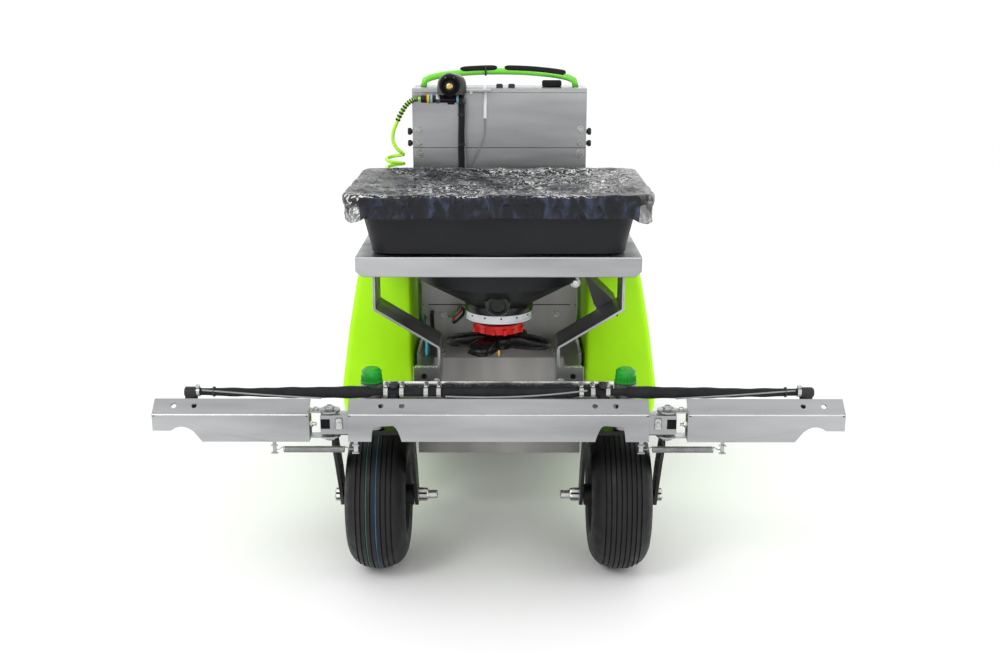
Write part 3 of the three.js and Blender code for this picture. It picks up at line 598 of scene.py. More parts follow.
# ---------- wheel and fork fittings ----------
def make_wheel_fittings():
    for name, sign in LEFT_RIGHT:
        rear = middle(f"rear_rim_{name}")
        nuts = Shape()
        for turn in angles(5):
            place = rear + Vector((sign * 0.005, 0.072 * math.cos(turn), 0.072 * math.sin(turn)))
            nuts.hex_bolt(place, (sign, 0, 0), 0.019, 0.014, washer=0.013)
        nuts.hex_bolt(rear + Vector((sign * 0.06, 0, 0)), (sign, 0, 0), 0.046, 0.018, washer=0.034)
        piece(f"rear_lug_nuts_{name}", nuts, "zinc", f"rear_wheel_{name}")
        front = middle(f"front_rim_{name}")
        stem_foot = front + Vector((sign * 0.006, 0, 0.062))
        stem = Shape().tube([stem_foot, stem_foot + Vector((sign * 0.02, 0, 0.002)),
                             stem_foot + Vector((sign * 0.036, 0, 0.006))], 0.0042, 10)
        piece(f"valve_stem_{name}", stem, "black_plastic", f"front_wheel_{name}")
        inner = -sign
        bolt = Shape()
        face = front + Vector((inner * 0.0945, 0, 0))
        bolt.hex_bolt(face, (inner, 0, 0), 0.0292, 0.0222, washer=0.020)
        bolt.turned([(0.0105, 0), (0.0105, 0.0455), (0.0088, 0.0475)], face, (inner, 0, 0), 20)
        outer = front + Vector((sign * 0.0945, 0, 0))
        bolt.hex_bolt(outer, (sign, 0, 0), 0.0292, 0.0135, washer=0.020)
        piece(f"front_axle_nuts_{name}", bolt, "zinc", f"caster_{name}")
        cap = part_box(f"pivot_cap_{name}")
        centre = middle(f"pivot_cap_{name}")
        ribs = Shape()
        for turn in angles(24):
            out = spoke(turn)
            foot = Vector((centre.x, centre.y, cap[0].z + 0.004)) + out * 0.0225
            ribs.tube([foot, foot + Vector((0, 0, 0.012))], 0.0019, 6)
        piece(f"pivot_cap_ribs_{name}", ribs, "emerald_plastic", f"caster_{name}")


# ---------- rain cover (a sheet) ----------
COVER_POINTS = 260
COVER_HEM = 0.886


def rounded_loop(half_x, half_y, corner, count):
    """Points evenly spaced round a rectangle with round corners, with their outward directions."""
    centres = [(half_x - corner, half_y - corner, 0), (corner - half_x, half_y - corner, 90),
               (corner - half_x, corner - half_y, 180), (half_x - corner, corner - half_y, 270)]
    path = []
    for x, y, start in centres:
        for step in range(9):
            turn = math.radians(start + 90 * step / 8)
            out = spoke(turn)
            path.append((Vector((x, y, 0)) + out * corner, out))
    path.append(path[0])
    lengths = [0.0]
    for (a, _), (b, _) in zip(path, path[1:]):
        lengths.append(lengths[-1] + (b - a).length)
    loop, k = [], 0
    for i in range(count):
        wanted = lengths[-1] * i / count
        while lengths[k + 1] < wanted:
            k += 1
        share = (wanted - lengths[k]) / (lengths[k + 1] - lengths[k])
        (start, start_out), (end, end_out) = path[k:k + 2]
        loop.append((start.lerp(end, share), start_out.lerp(end_out, share).normalized()))
    return loop


def crease(point, scale):
    """Sharp-crested wrinkles, from 0 in the valleys to 1 on the crests."""
    return 1 - min(1.0, abs(noise.noise(point * scale)) * 2.6)


def cover_top(low, high, rim_z):
    """Rings of the cover's top from its middle to its edge, sagging inside the hopper's rim."""
    centre = (low + high) / 2
    half_x, half_y = (high.x - low.x) / 2 - 0.005, (high.y - low.y) / 2 - 0.005
    rings = []
    for k in range(1, 31):
        share = k / 30
        ring = []
        for flat, _ in rounded_loop(half_x * share, half_y * share, 0.052 * share, COVER_POINTS):
            place = Vector((centre.x, centre.y, 0)) + flat
            sag = 0.02 * max(0.0, 1 - (share / 0.93) ** 4)
            wrinkle = 0.0065 * crease(place, 9) + 0.0035 * crease(place + Vector((3, 1, 2)), 24)
            sweep = 0.004 * noise.noise(Vector((place.x * 6, 4.0, place.y * 2)))
            held = 0.45 if 0.93 < share else 1.0
            ring.append(Vector((place.x, place.y, rim_z + 0.0015 - sag + (wrinkle + max(sweep, 0)) * held)))
        rings.append(ring)
    return rings


def cover_skirt(edge, low, high):
    """Rings from the cover's edge down to its elastic hem, gathered into folds, lowest at the corners."""
    half_x, half_y = (high.x - low.x) / 2, (high.y - low.y) / 2
    loop = rounded_loop(half_x, half_y, 0.05, COVER_POINTS)
    centre = (low + high) / 2
    rings = []
    steps = 12
    for k in range(1, steps + 1):
        share = k / steps
        ring = []
        for i, (flat, out) in enumerate(loop):
            place = Vector((centre.x, centre.y, 0)) + flat
            corner = (abs(out.x) * abs(out.y) * 2) ** 0.7
            turn = 2 * math.pi * i / COVER_POINTS
            folds = noise.noise(Vector((math.cos(turn) * 7, math.sin(turn) * 7, share * 0.9)))
            fine = noise.noise(Vector((math.cos(turn) * 22, math.sin(turn) * 22, share * 2.5)))
            push = (0.009 * folds + 0.006 * fine) * share - 0.003 * share * (1 - corner) - 0.002
            wave = noise.noise(Vector((math.cos(turn) * 5, math.sin(turn) * 5, 7)))
            hem = COVER_HEM - 0.012 * corner + 0.004 * wave
            z = edge[i].z + (hem - edge[i].z) * share
            lean = 0.003 * math.sin(math.pi * min(1, share * 2))
            ring.append(Vector((place.x, place.y, z)) + out * (push + lean))
        rings.append(ring)
    return rings


def make_rain_cover():
    low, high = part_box("rain_cover")
    rim_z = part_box("hopper")[1].z
    top = cover_top(low, high, rim_z)
    shape = Shape().grid([*top, *cover_skirt(top[-1], low, high)], caps=False)
    shape.faces.append(tuple(range(COVER_POINTS)))
    cover = piece("rain_cover_sheet", shape, "clear_vinyl", "cover", flat_angle=180,
                  replaces=("rain_cover",))
    cover.data.materials.append(MATERIALS["vinyl_skirt"])
    cover.data.materials.append(MATERIALS["vinyl_side"])
    hopper_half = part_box("hopper")[1].x - 0.026
    for face in cover.data.polygons:
        if abs(face.center.x) > hopper_half:
            face.material_index = 2
        elif face.normal.z < 0.5 and face.center.z < rim_z:
            face.material_index = 1


# ---------- spray boom ----------
def make_boom_springs():
    for name, sign in LEFT_RIGHT:
        low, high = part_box(f"boom_spring_{name}")
        centre = middle(f"boom_spring_{name}")
        inner, outer = sorted((abs(low.x), abs(high.x)))
        coil, wire, turns, per_turn = 0.0064, 0.00135, 46, 12
        first, last = inner + 0.018, outer - 0.014
        path = [(inner - 0.0015, 0, 0), (inner + 0.005, 0, 0), (inner + 0.012, 0, coil * 0.6)]
        for i in range(turns * per_turn + 1):
            angle = 2 * math.pi * i / per_turn
            path.append((first + (last - first) * i / (turns * per_turn), coil * math.sin(angle),
                         coil * math.cos(angle)))
        path += [(outer - 0.009, 0, coil * 0.6), (outer - 0.003, 0, 0), (outer + 0.0025, 0, 0)]
        points = [Vector((sign * x, centre.y + y, centre.z + z)) for x, y, z in path]
        spring = piece(f"boom_spring_coil_{name}", Shape().tube(points, wire, 6), "spring_steel", None,
                       replaces=(f"boom_spring_{name}",))
        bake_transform(spring, "chassis", f"wing_{name}", start=(sign * inner, centre.y, centre.z),
                 end=(sign * outer, centre.y, centre.z))


def sleeve_radius(x, sleeves, bare, full):
    """Radius of a hose at x, swelling where a sleeve is on it and puckering along it."""
    for start, end in sleeves:
        if start <= x <= end:
            near_end = min(x - start, end - x)
            swell = min(1.0, near_end / 0.012)
            pucker = 0.0005 * math.sin(x * 97) + 0.0006 * math.sin(x * 41 + 1)
            return bare + (full - bare) * swell + pucker * swell
    return bare


def boom_route(start, end, steps, y, z, droop):
    points = []
    for i in range(steps + 1):
        share = i / steps
        sag = droop * math.sin(math.pi * share)
        points.append(Vector((start + (end - start) * share, y, z - sag)))
    return points


def hose_line(name, route, radius, material, body=None, replaces=()):
    """A hose laid along a straight route, with a radius that changes along it."""
    return piece(name, Shape().tube(route, radius, 20), material, body, flat_angle=60,
                 replaces=replaces)


WING_SLEEVE = (0.285, 0.655)
CENTRE_SLEEVE = (-0.126, 0.178)
HINGE_SPAN = (0.335, 0.435)


def cable_beside(name, span, count, place, shift, body):
    """A thin cable beside a hose; shift gives how far it moves in y and z at a share of the way."""
    route = boom_route(*span, count, *place)
    for i, point in enumerate(route):
        shift_y, shift_z = shift(i / count)
        point.y += shift_y
        point.z += shift_z
    return piece(name, Shape().tube(route, 0.0019, 8), "grey_cable", body)


def make_wing_hoses():
    low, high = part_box("boom_hose_left")
    centre = middle("boom_hose_left")
    y, z = centre.y, centre.z
    start, end = low.x, high.x

    def wing_radius(share):
        x = start + (end - start) * share
        return sleeve_radius(x, [WING_SLEEVE], 0.0082, 0.0134 - 0.0046 * max(0, (x - 0.38) / 0.27))

    for name, sign in LEFT_RIGHT:
        route = boom_route(start * sign, end * sign, 150, y, z, 0.002)
        hose = hose_line(f"boom_hose_sleeve_{name}", route, wing_radius, "braided", None,
                         (f"boom_hose_{name}",))
        wire = cable_beside(f"boom_wire_{name}", (0.40 * sign, 0.67 * sign), 50,
                            (y - 0.0145, z + 0.006, 0.001),
                           lambda share: (0.006 * share, -0.017 * (1 - share)), None)
        for crossing in (hose, wire):
            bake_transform(crossing, "chassis", f"wing_{name}", start=(sign * HINGE_SPAN[0], y, z),
                     end=(sign * HINGE_SPAN[1], y, z))
        tie = Shape().turned([(0.0095, 0), (0.0118, 0.0005), (0.0118, 0.0045), (0.0095, 0.005)],
                             (sign * 0.647, y, z), ACROSS, 20)
        clamp = Shape()
        hose_clamp(clamp, sign * 0.681 - 0.005, y, z, 0.0098)
        piece(f"outer_hose_tie_{name}", tie, "black_plastic", f"wing_{name}")
        piece(f"outer_hose_clamp_{name}", clamp, "zinc", f"wing_{name}")


def make_centre_hose():
    centre = middle("boom_hose_left")
    y, z = centre.y, centre.z
    start, end = CENTRE_SLEEVE

    def centre_radius(share):
        return sleeve_radius(start + (end - start) * share, [CENTRE_SLEEVE], 0.0115, 0.0135)

    hose_line("boom_centre_sleeve", boom_route(start, end, 90, y, z, 0.0), centre_radius, "braided",
              "chassis")
    clamps = Shape()
    for x in (-0.255, -0.219, -0.164, -0.135, 0.214, 0.248, 0.188):
        hose_clamp(clamps, x - 0.005, y, z, 0.0118)
    piece("boom_centre_clamps", clamps, "zinc")
    cable_beside("boom_centre_wire", (-0.12, 0.20), 70, (y - 0.0155, z - 0.006, 0.004),
                lambda share: (0.0, 0.014 * share ** 2), "chassis")
    # A thin strip behind the centre hose, drawn in the near-white metal as a painted highlight.
    strip = Shape().block((-0.262, y + 0.0145, z - 0.004), (0.262, y + 0.0165, z + 0.0205), 0.0006)
    piece("boom_hose_rail", strip, "painted_highlight_metal")


def hose_clamp(clamp, x, y, z, radius):
    """Adds a band with a worm housing on top."""
    clamp.band(radius - 0.001, radius + 0.0011, 0, 0.0095, (x, y, z), ACROSS, 24)
    clamp.block((x + 0.0005, y - 0.007, z + radius + 0.0004), (x + 0.009, y + 0.007, z + radius + 0.0062),
                0.0012)


# Radius and height pairs of the turned parts of a nozzle.
NOZZLE_COLLAR = ((0.0125, 0), (0.0152, 0.001), (0.0152, 0.011), (0.0128, 0.012))
NOZZLE_RING = ((0.0135, 0), (0.0145, 0.001), (0.0145, 0.004), (0.0135, 0.005))
NOZZLE_DOME = ((0.010, 0), (0.0105, 0.004), (0.006, 0.009))
NOZZLE_TIP = ((0.0078, 0), (0.0078, -0.003), (0.0045, -0.005), (0.0045, -0.008))
NOZZLE_ELBOW = ((0.0095, -0.014), (0.0125, -0.012), (0.0125, 0.012), (0.0095, 0.016))


def make_nozzle_details():
    hose = middle("boom_hose_left")
    for place, reach, dome_lift in (("centre", 0.238, 0.011), ("outer", 0.697, 0.0)):
        for side, sign in LEFT_RIGHT:
            body = "chassis" if place == "centre" else f"wing_{side}"
            name = f"{place}_nozzle_cap_{side}"
            line = Vector((sign * reach, hose.y, hose.z))
            cap = Shape().turned(NOZZLE_COLLAR, line + Vector((0, 0, -0.036)), UP, 12)
            cap.turned(NOZZLE_RING, line + Vector((0, 0, -0.017)), UP, 24)
            cap.turned(NOZZLE_DOME, line + Vector((0, 0, dome_lift)), UP, 20)
            piece(name, cap, "black_plastic", body)
            tip = Shape().turned(NOZZLE_TIP, line + Vector((0, 0, -0.052)), UP, 16)
            piece(f"{name}_tip", tip, "blue_plastic", body)
            if place == "outer":
                elbow = Shape().turned(NOZZLE_ELBOW, line + Vector((0, 0, -0.001)), ACROSS, 20)
                piece(f"{name}_elbow", elbow, "black_plastic", body)


def make_boom_hardware():
    face_y, top_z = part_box("boom_centre")[0].y, 0.467
    hinge_y = at(0, -0.083, 0).y
    for name, sign in LEFT_RIGHT:
        wing = Shape()
        wing.hex_bolt((sign * 0.381, hinge_y, top_z + 0.0042), UP, 0.012, 0.004, washer=0.0125)
        wing.hex_bolt((sign * 0.4115, hinge_y - 0.004, top_z), UP, 0.010, 0.0045, washer=0.007)
        rod_y, rod_z = hinge_y - 0.012, top_z - 0.031
        wing.turned([(0.0038, 0), (0.0038, 0.026), (0.003, 0.027)], (sign * 0.4095, rod_y, rod_z),
                    (sign, 0, 0), 14)
        wing.hex_bolt((sign * 0.4280, rod_y, rod_z), (sign, 0, 0), 0.0125, 0.0055, washer=0.0085)
        wing.hex_bolt((sign * 0.4238, rod_y, rod_z), (-sign, 0, 0), 0.0125, 0.0065)
        piece(f"hinge_bolts_{name}", wing, "zinc", f"wing_{name}")
        block = Shape().block((sign * 0.350, face_y + 0.003, 0.425), (sign * 0.366, face_y + 0.009, 0.452))
        block.hex_bolt((sign * 0.358, face_y + 0.003, 0.4385), FORWARD, 0.010, 0.004)
        piece(f"hinge_block_{name}", block, "zinc")
        # A thin dark plate on the knuckle's front, painted shade for the gap at the hinge.
        shade_patch = Shape().block((sign * 0.3785, face_y + 0.0077, 0.426),
                               (sign * 0.3995, face_y + 0.009, 0.449),
                               0.0003)
        piece(f"hinge_painted_shade_{name}", shade_patch, "shadow")
        for body, x in (("chassis", 0.321), (f"wing_{name}", 0.504)):
            lug = Shape()
            for z in (0.3705, 0.3885):
                lug.block((sign * (x - 0.008), face_y - 0.004, z),
                          (sign * (x + 0.008), face_y + 0.004, z + 0.003),
                          0.0008)
            piece(f"spring_lug_{body}_{name}", lug, "zinc", body)


def make_bend_highlights():
    """A painted highlight line along each bend of the boom sheets and of the hopper tray."""
    face_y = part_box("boom_centre")[0].y
    bend = 0.4617
    tray_low, tray_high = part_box("hopper_tray")
    runs = [("chassis", "boom_centre_bend", -0.336, 0.336, face_y + 0.0006, bend, 0.0016),
            ("wing_left", "boom_left_bend", 0.426, 0.774, face_y + 0.0006, bend, 0.0016),
            ("wing_right", "boom_right_bend", -0.774, -0.426, face_y + 0.0006, bend, 0.0016),
            ("chassis", "tray_top_bend", tray_low.x + 0.002, tray_high.x - 0.002, tray_low.y + 0.0008,
             tray_high.z - 0.0008, 0.0015)]
    for body, name, start, end, y, z, radius in runs:
        line = Shape().tube([(start, y, z), (start + 0.002, y, z), (end - 0.002, y, z), (end, y, z)],
                            radius, 10)
        piece(name, line, "painted_highlight_metal", body)


def make_boom_holes():
    """Dark discs of painted shade that stand for the bend-relief holes at the ends of each sheet."""
    face_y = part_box("boom_centre")[0].y
    for name, sign in LEFT_RIGHT:
        for body, places in (("chassis", (0.334,)), (f"wing_{name}", (0.429, 0.7715))):
            hole_shades = Shape()
            for x in places:
                hole_shades.turned([(0.0028, 0), (0.0028, 0.0012)], (sign * x, face_y - 0.0002, 0.4605), BACKWARD,
                             14)
            piece(f"relief_hole_shades_{body}_{name}", hole_shades, "shadow", body)


# ---------- under the hopper ----------
def make_hopper_port():
    port = at(-0.002, 0.128, 0.672)
    outer = [(0.040, 0), (0.039, 0.010), (0.034, 0.020), (0.024, 0.026), (0.010, 0.028)]
    axis = (0, -1, -0.16)
    housing = Shape().turned(outer, port + Vector((0, 0, 0.012)), axis, 40)
    cap = Shape().turned([(0.029, 0.014), (0.029, 0.038), (0.026, 0.043), (0.019, 0.0445), (0.017, 0.041),
                          (0.006, 0.041)], port, axis, 40)
    piece("hopper_port", housing, "gloss_black")
    piece("hopper_port_cap", cap, "gloss_black")


def make_dial_marks():
    centre = middle("metering_ring")
    low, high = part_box("metering_ring")
    radius = (high.x - low.x) / 2
    marks = Shape()
    for step in range(-2, 3):
        turn = math.radians(-86 + 29 * step)
        out = spoke(turn)
        marks.turned([(0.0022, -0.001), (0.0022, 0.0006)], centre + out * radius + Vector((0, 0, -0.006)),
                     out, 12)
    piece("dial_marks", marks, "shadow", "pattern_dial")
    lip = Shape().band(radius - 0.006, radius + 0.002, 0, 0.004, (centre.x, centre.y, low.z), UP, 64)
    piece("dial_lip", lip, "white_plastic", "pattern_dial")
    collar = [(radius - 0.002, 0), (radius + 0.003, 0.001), (radius + 0.0045, 0.014),
              (radius + 0.001, 0.0205),
              (radius - 0.002, 0.0205), (radius - 0.002, 0)]
    ring = Shape().turned(collar, (centre.x, centre.y, high.z - 0.0185), UP, 64, caps=False)
    piece("dial_collar", ring, "gloss_black", "pattern_dial")


def make_gearbox_details():
    drum_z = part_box("spinner_gearbox")[0].z
    centre = at(0, 0.235, 0)
    ribs = Shape()
    for i, turn in enumerate(angles(14)):
        out = spoke(turn)
        reach = 0.0605 + 0.004 * (i % 3)
        foot = Vector((centre.x, centre.y, drum_z + 0.001)) + out * 0.05
        side = Vector((-out.y, out.x, 0)) * 0.0035
        rise = Vector((0, 0, 0.013 + 0.003 * (i % 2)))
        tip = foot + out * (reach - 0.05)
        ribs.grid([[foot - side, foot + side, foot + side + rise, foot - side + rise],
                   [tip - side, tip + side, tip + side + rise * 0.8, tip - side + rise * 0.8]])
    piece("gearbox_ribs", ribs, "red_plastic")


IMPELLER_LOBES = ((-8, 0.094, 21), (55, 0.072, 15), (172, 0.094, 17), (238, 0.078, 24))
IMPELLER_PROFILE = ((0.08, 0.033), (0.60, 0.033), (0.88, 0.029), (0.97, 0.024), (1.0, 0.017), (0.98, 0.007),
                    (0.92, 0.001), (0.60, 0.0), (0.08, 0.0))


def lobe_radius(turn):
    """Outline of the impeller: broad rounded lobes round a hub."""
    reach = 0.039
    for degrees, length, width in IMPELLER_LOBES:
        away = math.remainder(turn - math.radians(degrees), 2 * math.pi)
        reach += length * math.exp(-(away / math.radians(width)) ** 4)
    return reach


def make_impeller():
    low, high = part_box("impeller")
    centre = middle("impeller")
    disc_z = 0.524
    rotor = Shape()
    rings = []
    for share, height in IMPELLER_PROFILE:
        ring = []
        for turn in angles(144):
            reach = lobe_radius(turn) * share
            droop = 0.10 * max(0.0, reach - 0.055) * height / 0.033
            out = spoke(turn) * reach
            ring.append((centre.x + out.x, centre.y + out.y, disc_z + height - droop))
        rings.append(ring)
    rotor.grid(rings)
    foot = (centre.x, centre.y, disc_z - 0.002)
    rotor.turned([(0.030, 0), (0.034, 0.003), (0.034, 0.014), (0.026, 0.028), (0.017, 0.034),
                  (0.0085, 0.036)],
                 foot, UP, 40)
    piece("impeller_rotor", rotor, "gloss_black", "spinner", flat_angle=50,
          replaces=("impeller",))
    shaft = Shape().turned([(0.006, 0), (0.007, 0.002), (0.007, high.z - low.z)],
                           (centre.x, centre.y, low.z),
                           UP, 20)
    pin_z = low.z + 0.008
    shaft.tube([(centre.x - 0.014, centre.y - 0.006, pin_z),
                (centre.x + 0.014, centre.y + 0.002, pin_z + 0.006)],
               0.0016, 8)
    piece("spinner_shaft", shaft, "brass", "spinner")


def make_deflector_plate():
    """Folded end plate of the side deflector, with a notched lower edge."""
    line = [(0.209, 0.711), (0.2145, 0.7175), (0.2865, 0.650), (0.2865, 0.630), (0.264, 0.652),
            (0.240, 0.630),
            (0.228, 0.652)]
    front, back = at(0, 0.1636, 0).y, at(0, 0.1660, 0).y
    plate = Shape().grid([[(x, front, z) for x, z in line], [(x, back, z) for x, z in line]])
    piece("deflector_end_plate", plate, "black_steel", "deflector")
    # A painted highlight along the plate's notched lower edge.
    edge = Shape().lines([(x, front, z) for x, z in line[3:]], 0.0012)
    piece("deflector_edge_highlight", edge, "painted_highlight_metal", "deflector")


def make_deflector_pivot():
    """Tab under the hopper that carries the deflector, with its bolt."""
    tab = Shape().block(at(0.174, 0.1555, 0.694), at(0.1915, 0.1595, 0.7475), 0.0008)
    piece("deflector_tab", tab, "stainless")
    bolt = Shape().hex_bolt(at(0.183, 0.1555, 0.705), FORWARD, 0.017, 0.009, washer=0.0125)
    piece("deflector_pivot_bolt", bolt, "zinc")


def make_gussets():
    for name, sign in LEFT_RIGHT:
        face = at(0, 0.0345, 0).y
        plate = Shape().block((sign * 0.137, face, 0.4765), (sign * 0.199, face + 0.004, 0.532), 0.001)
        # The flange is drawn in the near-white metal as a painted highlight along the gusset's top edge.
        flange = Shape().block((sign * 0.142, face - 0.010, 0.5315), (sign * 0.194, face + 0.003, 0.5345),
                               0.0008)
        piece(f"gusset_flange_{name}", flange, "painted_highlight_metal")
        piece(f"bracket_gusset_{name}", plate, "stainless")
        # A dark disc of painted shade for the hole in the gusset.
        hole_shade = Shape().turned([(0.0065, 0), (0.0065, 0.001)], (sign * 0.174, face - 0.0006, 0.508),
                              BACKWARD, 20)
        piece(f"gusset_hole_shade_{name}", hole_shade, "shadow")
        bolt = Shape().hex_bolt((sign * 0.145, face, 0.494), FORWARD, 0.013, 0.0055, washer=0.009)
        piece(f"bracket_bolts_{name}", bolt, "zinc")
        panel = Shape()
        panel_face = at(0, 0.4395, 0).y
        for x, z in ((0.150, 0.554), (0.17, 0.70), (0.06, 0.70), (0.150, 0.45)):
            panel.hex_bolt((sign * x, panel_face, z), FORWARD, 0.013, 0.0055, washer=0.010)
        piece(f"panel_bolts_{name}", panel, "zinc")
        corners = ((0.2885, 0.747), (0.2885, 0.6665), (0.1405, 0.5755), (0.1405, 0.532))
        edge = Shape().lines([at(sign * x, 0.0395, z) for x, z in corners], 0.0014)
        piece(f"bracket_edge_{name}", edge, "stainless")
    seam = Shape().block(at(-0.2035, 0.4389, 0.5795), at(0.2035, 0.4399, 0.5815), 0.0002)
    piece("panel_seam", seam, "shadow")


CAVITY_WIRES = (
    ("red_wire", "red_plastic", 0.0022, ((-0.100, 0.4395, 0.574), (-0.100, 0.412, 0.571),
                                         (-0.110, 0.402, 0.562),
                                         (-0.120, 0.408, 0.552), (-0.124, 0.4395, 0.544))),
    ("green_wire", "emerald_plastic", 0.0022, ((-0.106, 0.4395, 0.580), (-0.107, 0.408, 0.577),
                                               (-0.118, 0.398, 0.567), (-0.130, 0.406, 0.556),
                                               (-0.134, 0.4395, 0.548))),
    ("signal_cable", "black_plastic", 0.0034, ((-0.094, 0.4395, 0.568), (-0.094, 0.406, 0.564),
                                               (-0.106, 0.395, 0.552), (-0.118, 0.406, 0.540),
                                               (-0.122, 0.4395, 0.532))),
    ("cyan_feed", "cyan_hose", 0.0040, ((-0.196, 0.4395, 0.548), (-0.196, 0.392, 0.545),
                                        (-0.190, 0.345, 0.530),
                                        (-0.186, 0.326, 0.506), (-0.186, 0.324, 0.4755))),
    ("pump_cable", "black_plastic", 0.0055, ((-0.178, 0.4395, 0.560), (-0.176, 0.390, 0.556),
                                             (-0.172, 0.350, 0.540), (-0.170, 0.334, 0.512),
                                             (-0.172, 0.332, 0.4755))),
)


def make_cavity_wires():
    for name, material, radius, points in CAVITY_WIRES:
        route = curve_through([at(*p) for p in points], 7)
        piece(name, Shape().tube(route, radius, 10), material)


# ---------- control tower ----------
def make_tower_details():
    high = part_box("control_box")[1]
    front = at(0, 0.560, 0).y
    half = high.x
    seam = Shape().block((-half - 0.0002, front - 0.0003, 0.9793), (half + 0.0002, front + 0.0006, 0.9807),
                         0.0002)
    piece("tower_seam", seam, "shadow")
    flange = Shape().block((-half + 0.001, front - 0.0022, high.z - 0.0105),
                           (half - 0.001, front + 0.0005, high.z + 0.0006),
                           0.0009)
    piece("tower_flange", flange, "stainless")
    bolts = Shape()
    knobs = Shape()
    for sign in (1, -1):
        for z, washer in ((1.028, 0.0095), (0.992, 0.0075), (0.965, 0.0115)):
            bolts.hex_bolt((sign * 0.214, front, z), FORWARD, 0.012, 0.0055, washer=washer)
        for z, size in ((1.021, 0.0095), (0.990, 0.0085)):
            knobs.turned([(size * 0.6, 0), (size * 0.6, 0.004), (size, 0.005), (size, 0.012),
                          (size * 0.8, 0.014)],
                         (sign * half, front + 0.020, z), (sign, 0, 0), 20)
    piece("tower_bolts", bolts, "zinc")
    piece("tower_side_knobs", knobs, "black_plastic")
    caps = Shape()
    for x in (0.0, 0.032):
        caps.turned([(0.009, 0), (0.009, 0.007), (0.007, 0.010)], (x, at(0, 0.60, 0).y, high.z), UP, 24)
    piece("tower_caps", caps, "black_plastic")
    tube = [at(-0.038, 0.5535, 1.1425), at(-0.038, 0.5535, 1.058)]
    piece("breather_tube", Shape().tube(tube, 0.0045, 16), "white_plastic")
    route = curve_through([at(-0.038, 0.5535, 1.060), at(-0.039, 0.5532, 1.02), at(-0.050, 0.5528, 0.985),
                           at(-0.066, 0.5535, 0.955), at(-0.076, 0.5595, 0.930)], 8)
    piece("breather_cable", Shape().tube(route, 0.0024, 10), "grey_cable")


def make_gun_details():
    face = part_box("spray_gun")[0].y
    x, z = -0.127, 1.148
    rings = Shape()
    for along in (0.012, 0.024, 0.052):
        rings.turned([(0.0255, 0), (0.0282, 0.0008), (0.0282, 0.0042), (0.0255, 0.005)],
                     (x, face + along, z),
                     BACKWARD, 40)
    piece("gun_rings", rings, "olive_plastic")
    hood = Shape().turned([(0.0375, -0.022), (0.0385, -0.006), (0.0365, 0.008), (0.0315, 0.018),
                           (0.022, 0.0255),
                           (0.010, 0.029), (0.002, 0.030)], (-0.123, face + 0.0435, z - 0.002), UP, 40)
    piece("gun_hood", hood, "olive_plastic")
    # A dark disc of painted shade for the hollow round the gun's mouth.
    shade_patch = Shape().turned([(0.024, 0), (0.024, 0.0075), (0.021, 0.0085), (0.018, 0.004)],
                            (x, face + 0.0085, z - 0.003), FORWARD, 36)
    piece("gun_mouth_painted_shade", shade_patch, "shadow")
    screws = Shape()
    for turn in angles(6):
        screws.turned([(0.0026, 0), (0.0022, 0.0014)],
                      (x + 0.0205 * math.cos(turn), face + 0.0078,
                       z + 0.0205 * math.sin(turn)), FORWARD, 12)
    screws.hex_bolt(at(-0.073, 0.517, 1.1275), FORWARD, 0.009, 0.005)
    piece("gun_screws", screws, "zinc")
    mouth = Shape().turned([(0.0080, -0.0002), (0.0080, 0.0035), (0.0052, 0.0050), (0.0034, 0.0050)],
                           (x, face, z - 0.003), FORWARD, 24)
    piece("gun_nozzle", mouth, "brass")


# Name, material, start, width and radius of the rings along the fitting.
FITTING_RINGS = (
    ("yellow", "yellow_plastic", -0.1885, 0.007, 0.0112),
    ("blue", "blue_plastic", -0.1795, 0.006, 0.0116),
    ("far_blue", "blue_plastic", -0.1115, 0.006, 0.0116),
    ("hex", "zinc", -0.1650, 0.012, 0.0125),
    ("end_nut", "zinc", -0.0975, 0.008, 0.0125),
)


def make_gun_fittings():
    for name, material, start, width, radius in FITTING_RINGS:
        hexagonal = material == "zinc"
        ring = Shape().turned([(radius * 0.9, 0), (radius, 0.0008), (radius, width - 0.0008),
                               (radius * 0.9, width)],
                              at(start, 0.525, 1.110), ACROSS, 6 if hexagonal else 28)
        piece(f"fitting_ring_{name}", ring, material)
    ties = Shape()
    for z, y in ((1.067, 0.5258), (0.990, 0.5333)):
        ties.turned([(0.0078, 0), (0.0094, 0.0006), (0.0094, 0.0042), (0.0078, 0.0048)], at(-0.0995, y, z),
                    UP, 20)
    piece("supply_hose_ties", ties, "black_plastic")
    side_wire = curve_through([at(-0.088, 0.525, 1.103), at(-0.0885, 0.5265, 1.067), at(-0.091, 0.532, 1.02),
                               at(-0.0895, 0.5345, 0.990), at(-0.090, 0.540, 0.93),
                               at(-0.0895, 0.541, 0.86)], 7)
    piece("gun_wire", Shape().tube(side_wire, 0.0018, 8), "grey_cable")


HANDLE_POINTS = ((0, 0.678, 0.038), (0.080, 0.672, 0.036), (0.150, 0.655, 0.030), (0.182, 0.646, 0.024),
                 (0.199, 0.641, 0.017), (0.204, 0.640, 0.008))


def handle_curve():
    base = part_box("control_box")[1].z
    half = [at(x, y, base + z) for x, y, z in HANDLE_POINTS]
    mirrored = [Vector((-p.x, p.y, p.z)) for p in reversed(half[1:])]
    return curve_through([*mirrored, *half], 12)


